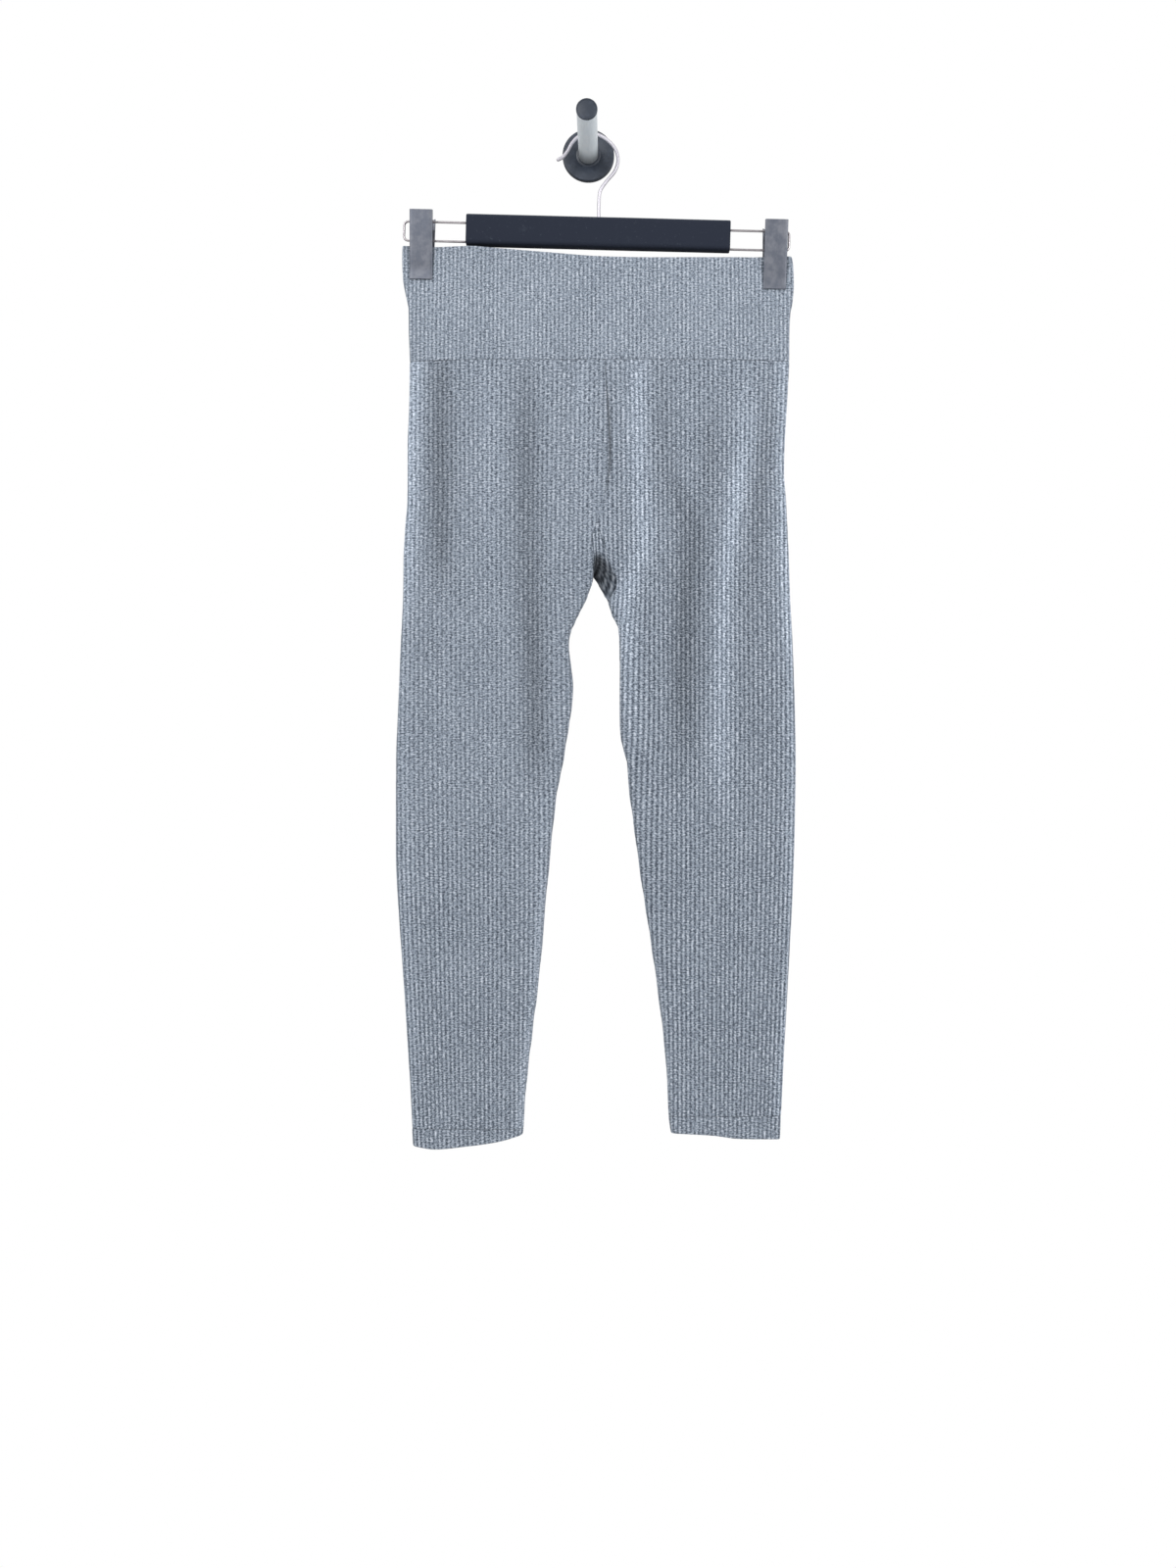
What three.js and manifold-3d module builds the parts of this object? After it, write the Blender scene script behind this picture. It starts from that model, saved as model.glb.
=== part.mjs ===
// Fine-ribbed leggings on a clip hanger that hangs from a wall peg. Millimetres, +Z up.
// The wall is the plane y = 0, the front of the garment faces -Y, and the origin is the centre of the
// wall plate's back face. Left and right are the viewer's, left at -X.
import * as THREE from 'three';
import Module from 'manifold-3d';
import { mergeVertices } from 'three/addons/utils/BufferGeometryUtils.js';

// Driving dimensions
const HANG_Y = -25;
const SEAM_GAP = 0.3;
const KNIT_WALL = 1.3;
const BAND_WALL = 1.8;
const HEM_WALL = 1.6;
const RIB_HEIGHT = 0.6;
const BAND_RIB_HEIGHT = 0.5;
const BAND_RIB_PITCH = 4.16;
const LEG_RIB_PITCH = { top: 4.72, bottom: 4.33, zTop: -220, zBottom: -1000 };
const FOLD_RADIUS = 3.2;
const PINCHED_RADIUS = 2.6;
const INSEAM_RADIUS = 4.5;
const SIDE_SWELL = 75;
const INSEAM_SWELL = 45;
const ROUND_STEPS = 8;
const LAYER_STEPS = 60;
const INNER_END = 1.6;
const INNER_SPLITS = { leg: 12, waistband: 22, hem: 8 };

// Levels of the two legs, from the waist seam down to the hem seam. Each row gives the heights at the
// outer fold and at the two inner ends, the x of those three places, the depth from front to back layer,
// and how far the inner ends are curled together: 0 is the open body, 1 is the closed leg.
const LEVEL_COLUMNS = ['zOut', 'zFront', 'zBack', 'xOut', 'xFront', 'xBack', 'depth', 'curl'];
const LEFT_LEVELS = [
  [-222.1, -222.1, -222.1, -182.0, 16.85, -5.15, 20, 0],
  [-318, -318, -318, -183.8, 22.3, -5.15, 26, 0],
  [-388, -388, -392, -186.5, 9.35, -5.15, 26, 0],
  [-400, -404, -409, -187.5, 4.0, -10.5, 26, 0],
  [-413, -426, -432, -188.0, 5.0, -11.0, 26, 0.3],
  [-428, -444, -449, -188.5, 5.0, -8.0, 25, 0.65],
  [-446, -461, -461, -189.0, 0.0, 0.0, 24, 1],
  [-508, -514, -514, -191.3, -23.0, -15.0, 23, 1],
  [-565, -565, -565, -193.5, -14.5, -16.5, 22, 1],
  [-650, -650, -650, -196.0, -29.0, -30.0, 21, 1],
  [-750, -750, -750, -195.0, -42.0, -42.0, 19, 1],
  [-870, -870, -870, -188.5, -52.0, -52.0, 16, 1],
  [-1003, -1003, -1003, -179.5, -65.5, -65.5, 13, 1],
];
const RIGHT_LEVELS = [
  [-222.1, -222.1, -222.1, 205.8, 17.15, -4.85, 20, 0],
  [-318, -318, -318, 200.0, 22.6, -4.85, 26, 0],
  [-388, -388, -392, 203.5, 9.65, -4.85, 26, 0],
  [-400, -404, -409, 204.0, 15.0, 0.5, 26, 0],
  [-413, -426, -432, 204.5, 20.5, 3.0, 26, 0.3],
  [-428, -447, -450, 204.8, 29.0, 11.0, 25, 0.65],
  [-448, -466, -466, 205.5, 20.0, 20.0, 24, 1],
  [-508, -508, -508, 209.0, 31.8, 31.8, 23, 1],
  [-592, -592, -592, 211.0, 31.8, 32.5, 22, 1],
  [-650, -650, -650, 212.0, 40.0, 40.0, 21, 1],
  [-750, -750, -750, 209.5, 53.5, 53.5, 19, 1],
  [-870, -870, -870, 203.5, 71.5, 71.5, 16, 1],
  [-990, -990, -990, 197.0, 82.0, 82.0, 13, 1],
];
const FIRST_GUSSET_LEVEL = 2;
const APEX_LEVEL = 6;

// Middle line of the gusset, from its front tip under the body to its back tip.
const GUSSET_COLUMNS = ['x', 'y', 'z'];
const GUSSET_MIDDLE = [
  [9.5, -38.0, -388.7],
  [9.5, -38.0, -404.0],
  [10.0, -36.0, -421.0],
  [9.5, -31.0, -429.0],
  [7.5, -26.0, -433.0],
  [4.0, -20.5, -437.0],
  [-2.5, -14.5, -437.0],
  [-5.0, -12.0, -409.0],
  [-5.0, -12.0, -392.7],
];
const GUSSET_SPLITS = 6;
const GUSSET_WALL = 1.7;
const GUSSET_CORNER_RISE = 1.5;
const GUSSET_FULLNESS = 0.35;

// Waistband: the sagging top edge, then the levels below it. Flat is the width at each side that the
// clips hold pressed together.
const WAIST_TOP_EDGE = [
  [-190, -103.4],
  [-157, -104.8],
  [-122, -104.8],
  [-93, -107.5],
  [-39, -112.0],
  [14, -116.0],
  [68, -117.4],
  [121, -116.8],
  [162, -115.5],
  [208, -114.2],
];
const WAIST_COLUMNS = ['z', 'xLeft', 'xRight', 'radius', 'depth', 'flat'];
const WAIST_LEVELS = [
  [null, -189.5, 208.0, 2.6, 15, 40],
  [-141, -188.5, 210.5, 2.6, 16, 40],
  [-221.8, -182.0, 205.8, 3.2, 19, 0],
];

// Hems: x and z of the bottom edge, from the inner to the outer corner.
const HEM_LEFT_EDGE = [
  [-178, -1021],
  [-157, -1024],
  [-126, -1021],
  [-91, -1016],
  [-66, -1009],
];
const HEM_RIGHT_EDGE = [
  [84, -1007.5],
  [126, -1009.5],
  [154, -1013],
  [197, -1014],
];
const HEM_LEFT = { zTop: -1003.3, xOut: [-179.5, -178.5], xIn: [-65.5, -66.5], depth: [13, 12] };
const HEM_RIGHT = { zTop: -990.3, xOut: [197, 196], xIn: [82, 84], depth: [13, 12] };

// Largest folds: x at the top, middle and bottom of each, its end heights, half width and depth. A
// positive depth is a trough, a negative one a ridge.
const FOLD_COLUMNS = ['xTop', 'xMiddle', 'xBottom', 'zTop', 'zBottom', 'width', 'depth'];
const FRONT_FOLDS = [
  [-148, -146, -144, -205, -450, 14, 4.5],
  [-60, -58, -52, -215, -650, 14, 3.5],
  [88, 108, 94, -205, -650, 16, 4.5],
  [175, 172, 169, -270, -580, 12, 2.5],
  [-102, -100, -98, -200, -470, 18, -2.0],
  [50, 50, 58, -205, -420, 14, -2.0],
  [160, 143, 137, -260, -660, 13, -2.5],
];
const BACK_FOLDS = [
  [150, 145, 142, -205, -480, 16, 4.0],
  [62, 66, 84, -215, -640, 15, 4.0],
  [-52, -70, -96, -215, -600, 15, 4.0],
  [-140, -145, -150, -240, -560, 13, 3.0],
  [106, 104, 110, -230, -520, 16, -2.0],
  [-104, -112, -122, -220, -560, 15, -2.0],
];

// Hanger, clips, hook and peg
const HANGER = { x: 10.4, z: -90.4, tilt: 1.45 };
const BAR = { length: 269, height: 30.6, thickness: 14, corner: 4 };
const WIRE = { radius: 1.15, halfSpacing: 9.7, corner: 3.2 };
const WIRE_LEFT = { endX: -198, z: -2.2 };
const WIRE_RIGHT = { endX: 195, z: -3.1 };
const SWEEP = { wireSteps: 30, wireSides: 6, hookSteps: 30, hookSides: 8 };
const CLIP = { width: 23.3, sheet: 1.2, flange: 2.6, flangedRows: 3, lap: 0.2 };
// The ears fill the space between the two wires, which carry the clip and let it slide.
const CLIP_EAR = { reach: 4.2, halfHeight: 8.1, corner: 3, frontX: 8.8, backX: 7.2, sheet: 1.0, pinZ: -17 };
const CLIP_SPRING = { radius: 3.6, sides: 16 };
const CLIP_LEFT = { x: -168.6, zTop: -71, tilt: 1.2 };
const CLIP_RIGHT = { x: 191.3, zTop: -81.1, tilt: 1.2 };
// Profile of a clip's plate from its top to its jaw: distance down, and distance from the middle plane.
const CLIP_PROFILE = [
  [0, 12.8],
  [20, 10.4],
  [48, 6.2],
  [60, 4.4],
  [67, 4.2],
];
const HOOK_RADIUS = 1.75;
const HOOK_PATH = [
  [-30.5, -15.0],
  [-26.1, -12.6],
  [-20.7, -6.1],
  [-16.2, 2.0],
  [-9.5, 8.6],
  [0, 12.05],
  [10, 10.6],
  [20.4, 4.6],
  [28.0, -4.5],
  [30.6, -16.0],
  [27.4, -26.6],
  [18.6, -37.4],
  [12.6, -46.6],
  [11.2, -57],
  [11.0, -74.7],
];
const PLATE = { radius: 26.8, thickness: 5, bevel: 1 };
const ROD = { radius: 10, front: -93 };
const CAP = { radius: 10.4, thickness: 1.8, bevel: 0.6 };
const ROUND_SIDES = 36;

const material = (color, roughness, metalness) =>
  new THREE.MeshStandardMaterial({ color, roughness, metalness });
const MATERIALS = {
  knit: () => material(0x8f97a2, 0.95, 0),
  foam: () => material(0x31363f, 0.85, 0),
  clipSteel: () => material(0x8d8b88, 0.35, 1),
  wireSteel: () => material(0xc0c4ca, 0.2, 1),
  chrome: () => material(0xc9ced6, 0.12, 1),
  blackPlastic: () => material(0x3c4048, 0.45, 0),
};

// Named rows from a table
const rows = (columns, table) =>
  table.map((row) => Object.fromEntries(columns.map((name, i) => [name, row[i]])));

// Value of a broken line of [x, value] pairs at x
function along(line, x) {
  if (x <= line[0][0]) return line[0][1];
  for (let i = 1; i < line.length; i += 1) {
    if (x <= line[i][0]) {
      const share = (x - line[i - 1][0]) / (line[i][0] - line[i - 1][0]);
      return THREE.MathUtils.lerp(line[i - 1][1], line[i][1], share);
    }
  }
  return line[line.length - 1][1];
}

// Sum of the folds at a place on one layer, in millimetres towards the other layer
function foldDepth(folds, x, z) {
  let sum = 0;
  for (const fold of folds) {
    const t = (fold.zTop - z) / (fold.zTop - fold.zBottom);
    if (t <= 0 || t >= 1) continue;
    const upper = THREE.MathUtils.lerp(fold.xTop, fold.xMiddle, t * 2);
    const lower = THREE.MathUtils.lerp(fold.xMiddle, fold.xBottom, t * 2 - 1);
    const centre = t < 0.5 ? upper : lower;
    const across = (x - centre) / fold.width;
    sum += fold.depth * Math.sin(Math.PI * t) * Math.exp(-across * across);
  }
  return sum;
}

// Half depth of the section at a distance from a side fold: a round fold, then a gentle swell
function halfDepth(distance, edge, half) {
  const round = Math.min(distance / edge.radius, 1);
  const swell = THREE.MathUtils.clamp((distance - edge.flat) / edge.swell, 0, 1);
  const lobe = 1 - (1 - swell) * (1 - swell);
  return edge.radius * Math.sqrt(1 - (1 - round) ** 2) + (half - edge.radius) * lobe;
}

// One layer of one level, front (-1) or back (+1), from the outer fold to its inner end
class Layer {
  constructor(level, face) {
    this.points = [];
    const end = face < 0 ? level.xFront : level.xBack;
    const meeting = (level.xFront + level.xBack) / 2;
    const half = level.depth / 2;
    const run = Math.abs(end - level.xOut);
    this.run = Math.sign(end - level.xOut);
    this.face = face;
    this.closed = level.curl === 1;
    for (const distance of this.steps(run, level.outer.radius, level.inner.radius)) {
      const inside = halfDepth(run - distance, level.inner, half) / half;
      const ending = THREE.MathUtils.lerp(1, inside, level.curl);
      const depth = halfDepth(distance, level.outer, half) * ending;
      const shift = this.closed ? (meeting - end) * (1 - inside) : 0;
      const x = level.xOut + this.run * distance + shift;
      const share = distance / run;
      const z = level.height(x, share, face);
      const cover = Math.min(1, depth / half) ** 2;
      const fold = foldDepth(face < 0 ? level.frontFolds : level.backFolds, x, z) * cover;
      this.points.push(new THREE.Vector3(x, HANG_Y + face * (depth - fold), z));
    }
    this.lengths = [0];
    for (let i = 1; i < this.points.length; i += 1) {
      const step = this.points[i].distanceTo(this.points[i - 1]);
      this.lengths.push(this.lengths[i - 1] + step);
    }
    this.length = this.lengths[this.lengths.length - 1];
  }

  // Distances from the outer fold at which the layer is worked out, close together in the round ends
  steps(run, outerRadius, innerRadius) {
    const distances = [];
    const round = (i) => 1 - Math.cos((Math.PI / 2) * (i / ROUND_STEPS));
    for (let i = 0; i < ROUND_STEPS; i += 1) distances.push(outerRadius * round(i));
    for (let i = 0; i <= LAYER_STEPS; i += 1) {
      distances.push(THREE.MathUtils.lerp(outerRadius, run - innerRadius, i / LAYER_STEPS));
    }
    for (let i = ROUND_STEPS - 1; i >= 0; i -= 1) distances.push(run - innerRadius * round(i));
    return distances;
  }

  // Point at a length along the layer, moved inwards by a depth along the wall's normal
  at(length, inward) {
    let i = 1;
    while (i < this.points.length - 1 && this.lengths[i] < length) i += 1;
    const a = this.points[i - 1];
    const b = this.points[i];
    const share = (length - this.lengths[i - 1]) / (this.lengths[i] - this.lengths[i - 1]);
    const point = a.clone().lerp(b, share);
    const normal = this.normal(i, share, length);
    point.x -= normal.x * inward;
    point.y -= normal.y * inward;
    return point;
  }

  normal(i, share, length) {
    if (length <= 0) return new THREE.Vector2(-this.run, 0);
    if (length >= this.length && this.closed) return new THREE.Vector2(this.run, 0);
    const before = this.tangent(i - 1);
    const after = this.tangent(i);
    const tangent = before.lerp(after, share).normalize();
    return new THREE.Vector2(tangent.y, -tangent.x).multiplyScalar(-this.face * this.run);
  }

  // Direction in which the layer runs at its inner end
  onward() {
    const last = this.points.length - 1;
    return this.points[last].clone().sub(this.points[last - 2]).normalize();
  }

  tangent(i) {
    const low = this.points[Math.max(i - 1, 0)];
    const high = this.points[Math.min(i + 1, this.points.length - 1)];
    return new THREE.Vector2(high.x - low.x, high.y - low.y).normalize();
  }

  // Ribbed outer columns, half a rib apart from the outer fold on, and one at the inner end
  ribbed(pitch, height) {
    const columns = [];
    for (let k = 0; k * pitch / 2 < this.length - pitch / 5; k += 1) {
      const length = k * pitch / 2;
      const point = this.at(length, k % 2 ? height : 0);
      columns.push({ point, share: length / this.length });
    }
    columns.push({ point: this.at(this.length, height), share: 1 });
    return columns;
  }

  // Plain inner columns
  plain(inward, splits) {
    const round = (Math.PI / 2) * PINCHED_RADIUS;
    const far = this.length - round * INNER_END;
    const lengths = [0, round / 3, (round * 2) / 3, round];
    for (let i = 1; i < splits; i += 1) lengths.push(THREE.MathUtils.lerp(round, far, i / splits));
    lengths.push(far, (far + this.length) / 2, this.length);
    return lengths.map((length) => ({ point: this.at(length, inward), share: length / this.length }));
  }
}

// Triangles collected as a list, then merged into one closed geometry
class Surface {
  constructor() {
    this.numbers = [];
  }

  triangle(a, b, c, flip) {
    for (const p of flip ? [a, c, b] : [a, b, c]) this.numbers.push(p.x, p.y, p.z);
  }

  // Wall between an upper and a lower line of columns, with the longer line's spare columns fanned in
  strip(upper, lower, flip) {
    const shared = Math.min(upper.length, lower.length) - 1;
    for (let k = 0; k < shared; k += 1) {
      this.triangle(upper[k].point, lower[k].point, lower[k + 1].point, flip);
      this.triangle(upper[k].point, lower[k + 1].point, upper[k + 1].point, flip);
    }
    for (let k = shared; k < upper.length - 1; k += 1) {
      this.triangle(upper[k].point, lower[shared].point, upper[k + 1].point, flip);
    }
    for (let k = shared; k < lower.length - 1; k += 1) {
      this.triangle(upper[shared].point, lower[k].point, lower[k + 1].point, flip);
    }
  }

  // Rim between an outer and an inner line whose columns differ in number
  rim(outer, inner, flip) {
    let i = 0;
    let j = 0;
    while (i < outer.length - 1 || j < inner.length - 1) {
      const outerNext = i < outer.length - 1 ? outer[i + 1].share : Infinity;
      const innerNext = j < inner.length - 1 ? inner[j + 1].share : Infinity;
      if (outerNext <= innerNext) {
        this.triangle(outer[i].point, outer[i + 1].point, inner[j].point, flip);
        i += 1;
      } else {
        this.triangle(outer[i].point, inner[j + 1].point, inner[j].point, flip);
        j += 1;
      }
    }
  }

  quad(a, b, c, d, flip) {
    this.triangle(a, b, c, flip);
    this.triangle(a, c, d, flip);
  }

  geometry() {
    const flat = new THREE.BufferGeometry();
    flat.setAttribute('position', new THREE.Float32BufferAttribute(this.numbers, 3));
    const merged = mergeVertices(flat, 1e-4);
    merged.computeVertexNormals();
    return merged;
  }
}

// Closed cloth wall through a list of levels. Where a level's inner ends are open, the wall ends there.
function clothWall(levels, options) {
  const surface = new Surface();
  const ends = [];
  for (const face of [-1, 1]) {
    const layers = levels.map((level) => new Layer(level, face));
    const flip = face * layers[0].run > 0;
    const outer = layers.map((layer, i) => layer.ribbed(options.pitch(levels[i]), options.rib));
    const inner = layers.map((layer) => layer.plain(options.rib + options.wall, options.splits));
    const last = layers.length - 1;
    for (let i = 0; i < last; i += 1) {
      surface.strip(outer[i], outer[i + 1], flip);
      surface.strip(inner[i], inner[i + 1], !flip);
    }
    surface.rim(outer[0], inner[0], flip);
    surface.rim(outer[last], inner[last], !flip);
    const edge = layers.map((layer, i) => ({
      outer: outer[i][outer[i].length - 1].point,
      inner: inner[i][inner[i].length - 1].point,
      onward: layer.onward(),
    }));
    for (let i = 0; i < last; i += 1) {
      if (levels[i].curl < 1) {
        surface.quad(edge[i].outer, edge[i + 1].outer, edge[i + 1].inner, edge[i].inner, flip);
      }
    }
    ends.push(edge);
  }
  return { geometry: surface.geometry(), front: ends[0], back: ends[1] };
}

const named = (name, geometry, finish) => {
  const mesh = new THREE.Mesh(geometry, finish);
  mesh.name = name;
  return mesh;
};

// Legs
function legLevels(table) {
  return rows(LEVEL_COLUMNS, table).map((row) => ({
    ...row,
    outer: { radius: FOLD_RADIUS, flat: 0, swell: SIDE_SWELL },
    inner: { radius: INSEAM_RADIUS, flat: 0, swell: INSEAM_SWELL },
    height: (x, share, face) => {
      const end = face < 0 ? row.zFront : row.zBack;
      return THREE.MathUtils.lerp(row.zOut, end, share * share);
    },
    frontFolds: rows(FOLD_COLUMNS, FRONT_FOLDS),
    backFolds: rows(FOLD_COLUMNS, BACK_FOLDS),
  }));
}

const legPitch = (level) => {
  const { top, bottom, zTop, zBottom } = LEG_RIB_PITCH;
  return THREE.MathUtils.lerp(top, bottom, (level.zOut - zTop) / (zBottom - zTop));
};

function leg(table) {
  const splits = INNER_SPLITS.leg;
  return clothWall(legLevels(table), { pitch: legPitch, rib: RIB_HEIGHT, wall: KNIT_WALL, splits });
}

// Step from a leg's end to the gusset's edge: onward over the seam, or up out of the side corner
function seamShift(end, corner) {
  return corner ? new THREE.Vector3(0, 0, GUSSET_CORNER_RISE) : end.onward.clone().setLength(SEAM_GAP);
}

// Gusset: a grid between the two legs' ends, bowed to its middle line, with a pointed tip at each end
function gusset(left, right) {
  const middle = rows(GUSSET_COLUMNS, GUSSET_MIDDLE);
  const half = APEX_LEVEL - FIRST_GUSSET_LEVEL;
  const lines = middle.map((centre, j) => {
    const level = FIRST_GUSSET_LEVEL + (j <= half ? j : 2 * half - j);
    const a = j <= half ? left.front[level] : left.back[level];
    const b = j <= half ? right.front[level] : right.back[level];
    const start = a.outer.clone().add(seamShift(a, j === half));
    const end = b.outer.clone().add(seamShift(b, j === half));
    const line = [];
    for (let k = 0; k <= GUSSET_SPLITS; k += 1) {
      const u = k / GUSSET_SPLITS;
      const round = 1 - (2 * u - 1) ** 2;
      const bow = THREE.MathUtils.lerp(Math.sin(Math.PI * u) ** 2, round, GUSSET_FULLNESS);
      const outer = start.clone().lerp(end, u);
      const chord = start.clone().lerp(end, 0.5);
      outer.addScaledVector(new THREE.Vector3(centre.x, centre.y, centre.z).sub(chord), bow);
      const inwards = a.inner.clone().sub(a.outer).lerp(b.inner.clone().sub(b.outer), u);
      line.push({ outer, inwards, edge: k === 0 || k === GUSSET_SPLITS });
    }
    return line;
  });
  const tips = [0, lines.length - 1].map((j) => {
    const centre = middle[j];
    const y = centre.y;
    const inner = y < HANG_Y ? y + GUSSET_WALL : y - GUSSET_WALL;
    return {
      outer: new THREE.Vector3(centre.x, y, centre.z),
      inner: new THREE.Vector3(centre.x, inner, centre.z),
    };
  });
  const grid = lines.map((line, j) => line.map((cell, k) => {
    if (j === 0) return tips[0];
    if (j === lines.length - 1) return tips[1];
    if (cell.edge) return { outer: cell.outer, inner: cell.outer.clone().add(cell.inwards) };
    const down = lines[j + 1][k].outer.clone().sub(lines[j - 1][k].outer);
    const across = line[k + 1].outer.clone().sub(line[k - 1].outer);
    const normal = across.cross(down).normalize();
    if (normal.dot(cell.inwards) < 0) normal.negate();
    const inner = cell.outer.clone().addScaledVector(normal, GUSSET_WALL);
    return { outer: cell.outer, inner };
  }));
  const surface = new Surface();
  const last = grid.length - 1;
  for (let j = 0; j < last; j += 1) {
    const upper = grid[j];
    const lower = grid[j + 1];
    for (let k = 0; k < GUSSET_SPLITS; k += 1) {
      if (j > 0) {
        surface.triangle(upper[k].outer, lower[k].outer, upper[k + 1].outer, false);
        surface.triangle(upper[k].inner, lower[k].inner, upper[k + 1].inner, true);
      }
      if (j < last - 1) {
        surface.triangle(upper[k + 1].outer, lower[k].outer, lower[k + 1].outer, false);
        surface.triangle(upper[k + 1].inner, lower[k].inner, lower[k + 1].inner, true);
      }
    }
    for (const [k, flip] of [[0, true], [GUSSET_SPLITS, false]]) {
      surface.quad(upper[k].outer, lower[k].outer, lower[k].inner, upper[k].inner, flip);
    }
  }
  return surface.geometry();
}

// Waistband: one turned tube from side fold to side fold
function waistband() {
  const levels = rows(WAIST_COLUMNS, WAIST_LEVELS).map((row) => {
    const fold = { radius: row.radius, flat: row.flat, swell: SIDE_SWELL };
    return {
      xOut: row.xLeft,
      xFront: row.xRight,
      xBack: row.xRight,
      depth: row.depth,
      curl: 1,
      outer: fold,
      inner: fold,
      height: (x) => (row.z === null ? along(WAIST_TOP_EDGE, x) : row.z),
      frontFolds: [],
      backFolds: [],
    };
  });
  const pitch = () => BAND_RIB_PITCH;
  const splits = INNER_SPLITS.waistband;
  return clothWall(levels, { pitch, rib: BAND_RIB_HEIGHT, wall: BAND_WALL, splits }).geometry;
}

// Hem band at an ankle
function hem(size, edge) {
  const fold = { radius: FOLD_RADIUS, flat: 0, swell: SIDE_SWELL };
  const inseam = { radius: INSEAM_RADIUS, flat: 0, swell: INSEAM_SWELL };
  const levels = [0, 1].map((i) => ({
    zOut: size.zTop,
    xOut: size.xOut[i],
    xFront: size.xIn[i],
    xBack: size.xIn[i],
    depth: size.depth[i],
    curl: 1,
    outer: fold,
    inner: inseam,
    height: (x) => (i === 0 ? size.zTop : along(edge, x)),
    frontFolds: [],
    backFolds: [],
  }));
  const splits = INNER_SPLITS.hem;
  return clothWall(levels, { pitch: legPitch, rib: RIB_HEIGHT, wall: HEM_WALL, splits }).geometry;
}

// Round section swept along a path
function wire(path, radius, steps, sides) {
  const section = new THREE.Shape();
  for (let i = 0; i < sides; i += 1) {
    const angle = (2 * Math.PI * i) / sides;
    const method = i === 0 ? 'moveTo' : 'lineTo';
    section[method](radius * Math.cos(angle), radius * Math.sin(angle));
  }
  section.closePath();
  return new THREE.ExtrudeGeometry(section, { steps, extrudePath: path, bevelEnabled: false });
}

// Turned shape about the y axis, from radius and y pairs that start and end on the axis
function turned(profile) {
  const points = profile.map(([radius, y]) => new THREE.Vector2(radius, y));
  return new THREE.LatheGeometry(points, ROUND_SIDES);
}

// Flat bar with rounded edges, along x
function barGeometry() {
  const { length, height, thickness, corner } = BAR;
  const w = thickness / 2;
  const h = height / 2;
  const shape = new THREE.Shape();
  shape.moveTo(-w + corner, -h);
  shape.lineTo(w - corner, -h);
  shape.absarc(w - corner, -h + corner, corner, -Math.PI / 2, 0);
  shape.absarc(w - corner, h - corner, corner, 0, Math.PI / 2);
  shape.absarc(-w + corner, h - corner, corner, Math.PI / 2, Math.PI);
  shape.absarc(-w + corner, -h + corner, corner, Math.PI, Math.PI * 1.5);
  const settings = { depth: length, bevelEnabled: false, curveSegments: 5 };
  const geometry = new THREE.ExtrudeGeometry(shape, settings);
  geometry.translate(0, 0, -length / 2);
  geometry.rotateX(Math.PI / 2);
  geometry.rotateZ(Math.PI / 2);
  return geometry;
}

// Wire loop that runs out of one end of the bar and back into it
function wireLoop({ endX, z: middleZ }) {
  const side = Math.sign(endX);
  const start = side * (BAR.length / 2 + SEAM_GAP);
  const { halfSpacing, corner } = WIRE;
  const turnX = endX - side * corner;
  const turnZ = halfSpacing - corner;
  const at = (x, z) => new THREE.Vector3(x, 0, middleZ + z);
  const line = (a, b) => new THREE.LineCurve3(at(...a), at(...b));
  const bend = (a, b, c) => new THREE.QuadraticBezierCurve3(at(...a), at(...b), at(...c));
  const path = new THREE.CurvePath();
  path.add(line([start, halfSpacing], [turnX, halfSpacing]));
  path.add(bend([turnX, halfSpacing], [endX, halfSpacing], [endX, turnZ]));
  path.add(line([endX, turnZ], [endX, -turnZ]));
  path.add(bend([endX, -turnZ], [endX, -halfSpacing], [turnX, -halfSpacing]));
  path.add(line([turnX, -halfSpacing], [start, -halfSpacing]));
  return wire(path, WIRE.radius, SWEEP.wireSteps, SWEEP.wireSides);
}

const wasm = await Module();
wasm.setup();

// Solid of a closed geometry
function solid(geometry) {
  const bare = geometry.clone();
  bare.deleteAttribute('normal');
  bare.deleteAttribute('uv');
  const merged = mergeVertices(bare, 1e-4);
  const vertProperties = new Float32Array(merged.attributes.position.array);
  const triVerts = new Uint32Array(merged.index.array);
  return new wasm.Manifold(new wasm.Mesh({ numProp: 3, vertProperties, triVerts }));
}

function unionOf(geometries) {
  const joined = geometries.map(solid).reduce((a, b) => a.add(b));
  const mesh = joined.getMesh();
  const geometry = new THREE.BufferGeometry();
  geometry.setAttribute('position', new THREE.Float32BufferAttribute(mesh.vertProperties, 3));
  geometry.setIndex(Array.from(mesh.triVerts));
  geometry.computeVertexNormals();
  return geometry;
}

// Band of a plate's side view, between two distances inside its profile
function plateBand(profile, near, far) {
  const shape = new THREE.Shape();
  const outerLine = profile.map(([down, out]) => [out - near, -down]);
  const innerLine = profile.map(([down, out]) => [out - far, -down]).reverse();
  [...outerLine, ...innerLine].forEach(([out, z], i) => {
    shape[i === 0 ? 'moveTo' : 'lineTo'](out, z);
  });
  shape.closePath();
  return shape;
}

// One plate of a clip: sheet face, two side flanges and two ears that carry the spring. The plate lies
// on the -Y side of the clip's middle plane, with its top edge at z = 0.
function clipPlate(earX) {
  const parts = [acrossClip(plateBand(CLIP_PROFILE, 0, CLIP.sheet), CLIP.width, 0)];
  const flange = plateBand(CLIP_PROFILE.slice(0, CLIP.flangedRows), CLIP.lap, CLIP.flange);
  for (const side of [-1, 1]) {
    parts.push(acrossClip(flange, CLIP.sheet, side * (CLIP.width - CLIP.sheet) / 2));
    parts.push(acrossClip(ear(), CLIP_EAR.sheet, side * earX));
  }
  return unionOf(parts);
}

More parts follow.
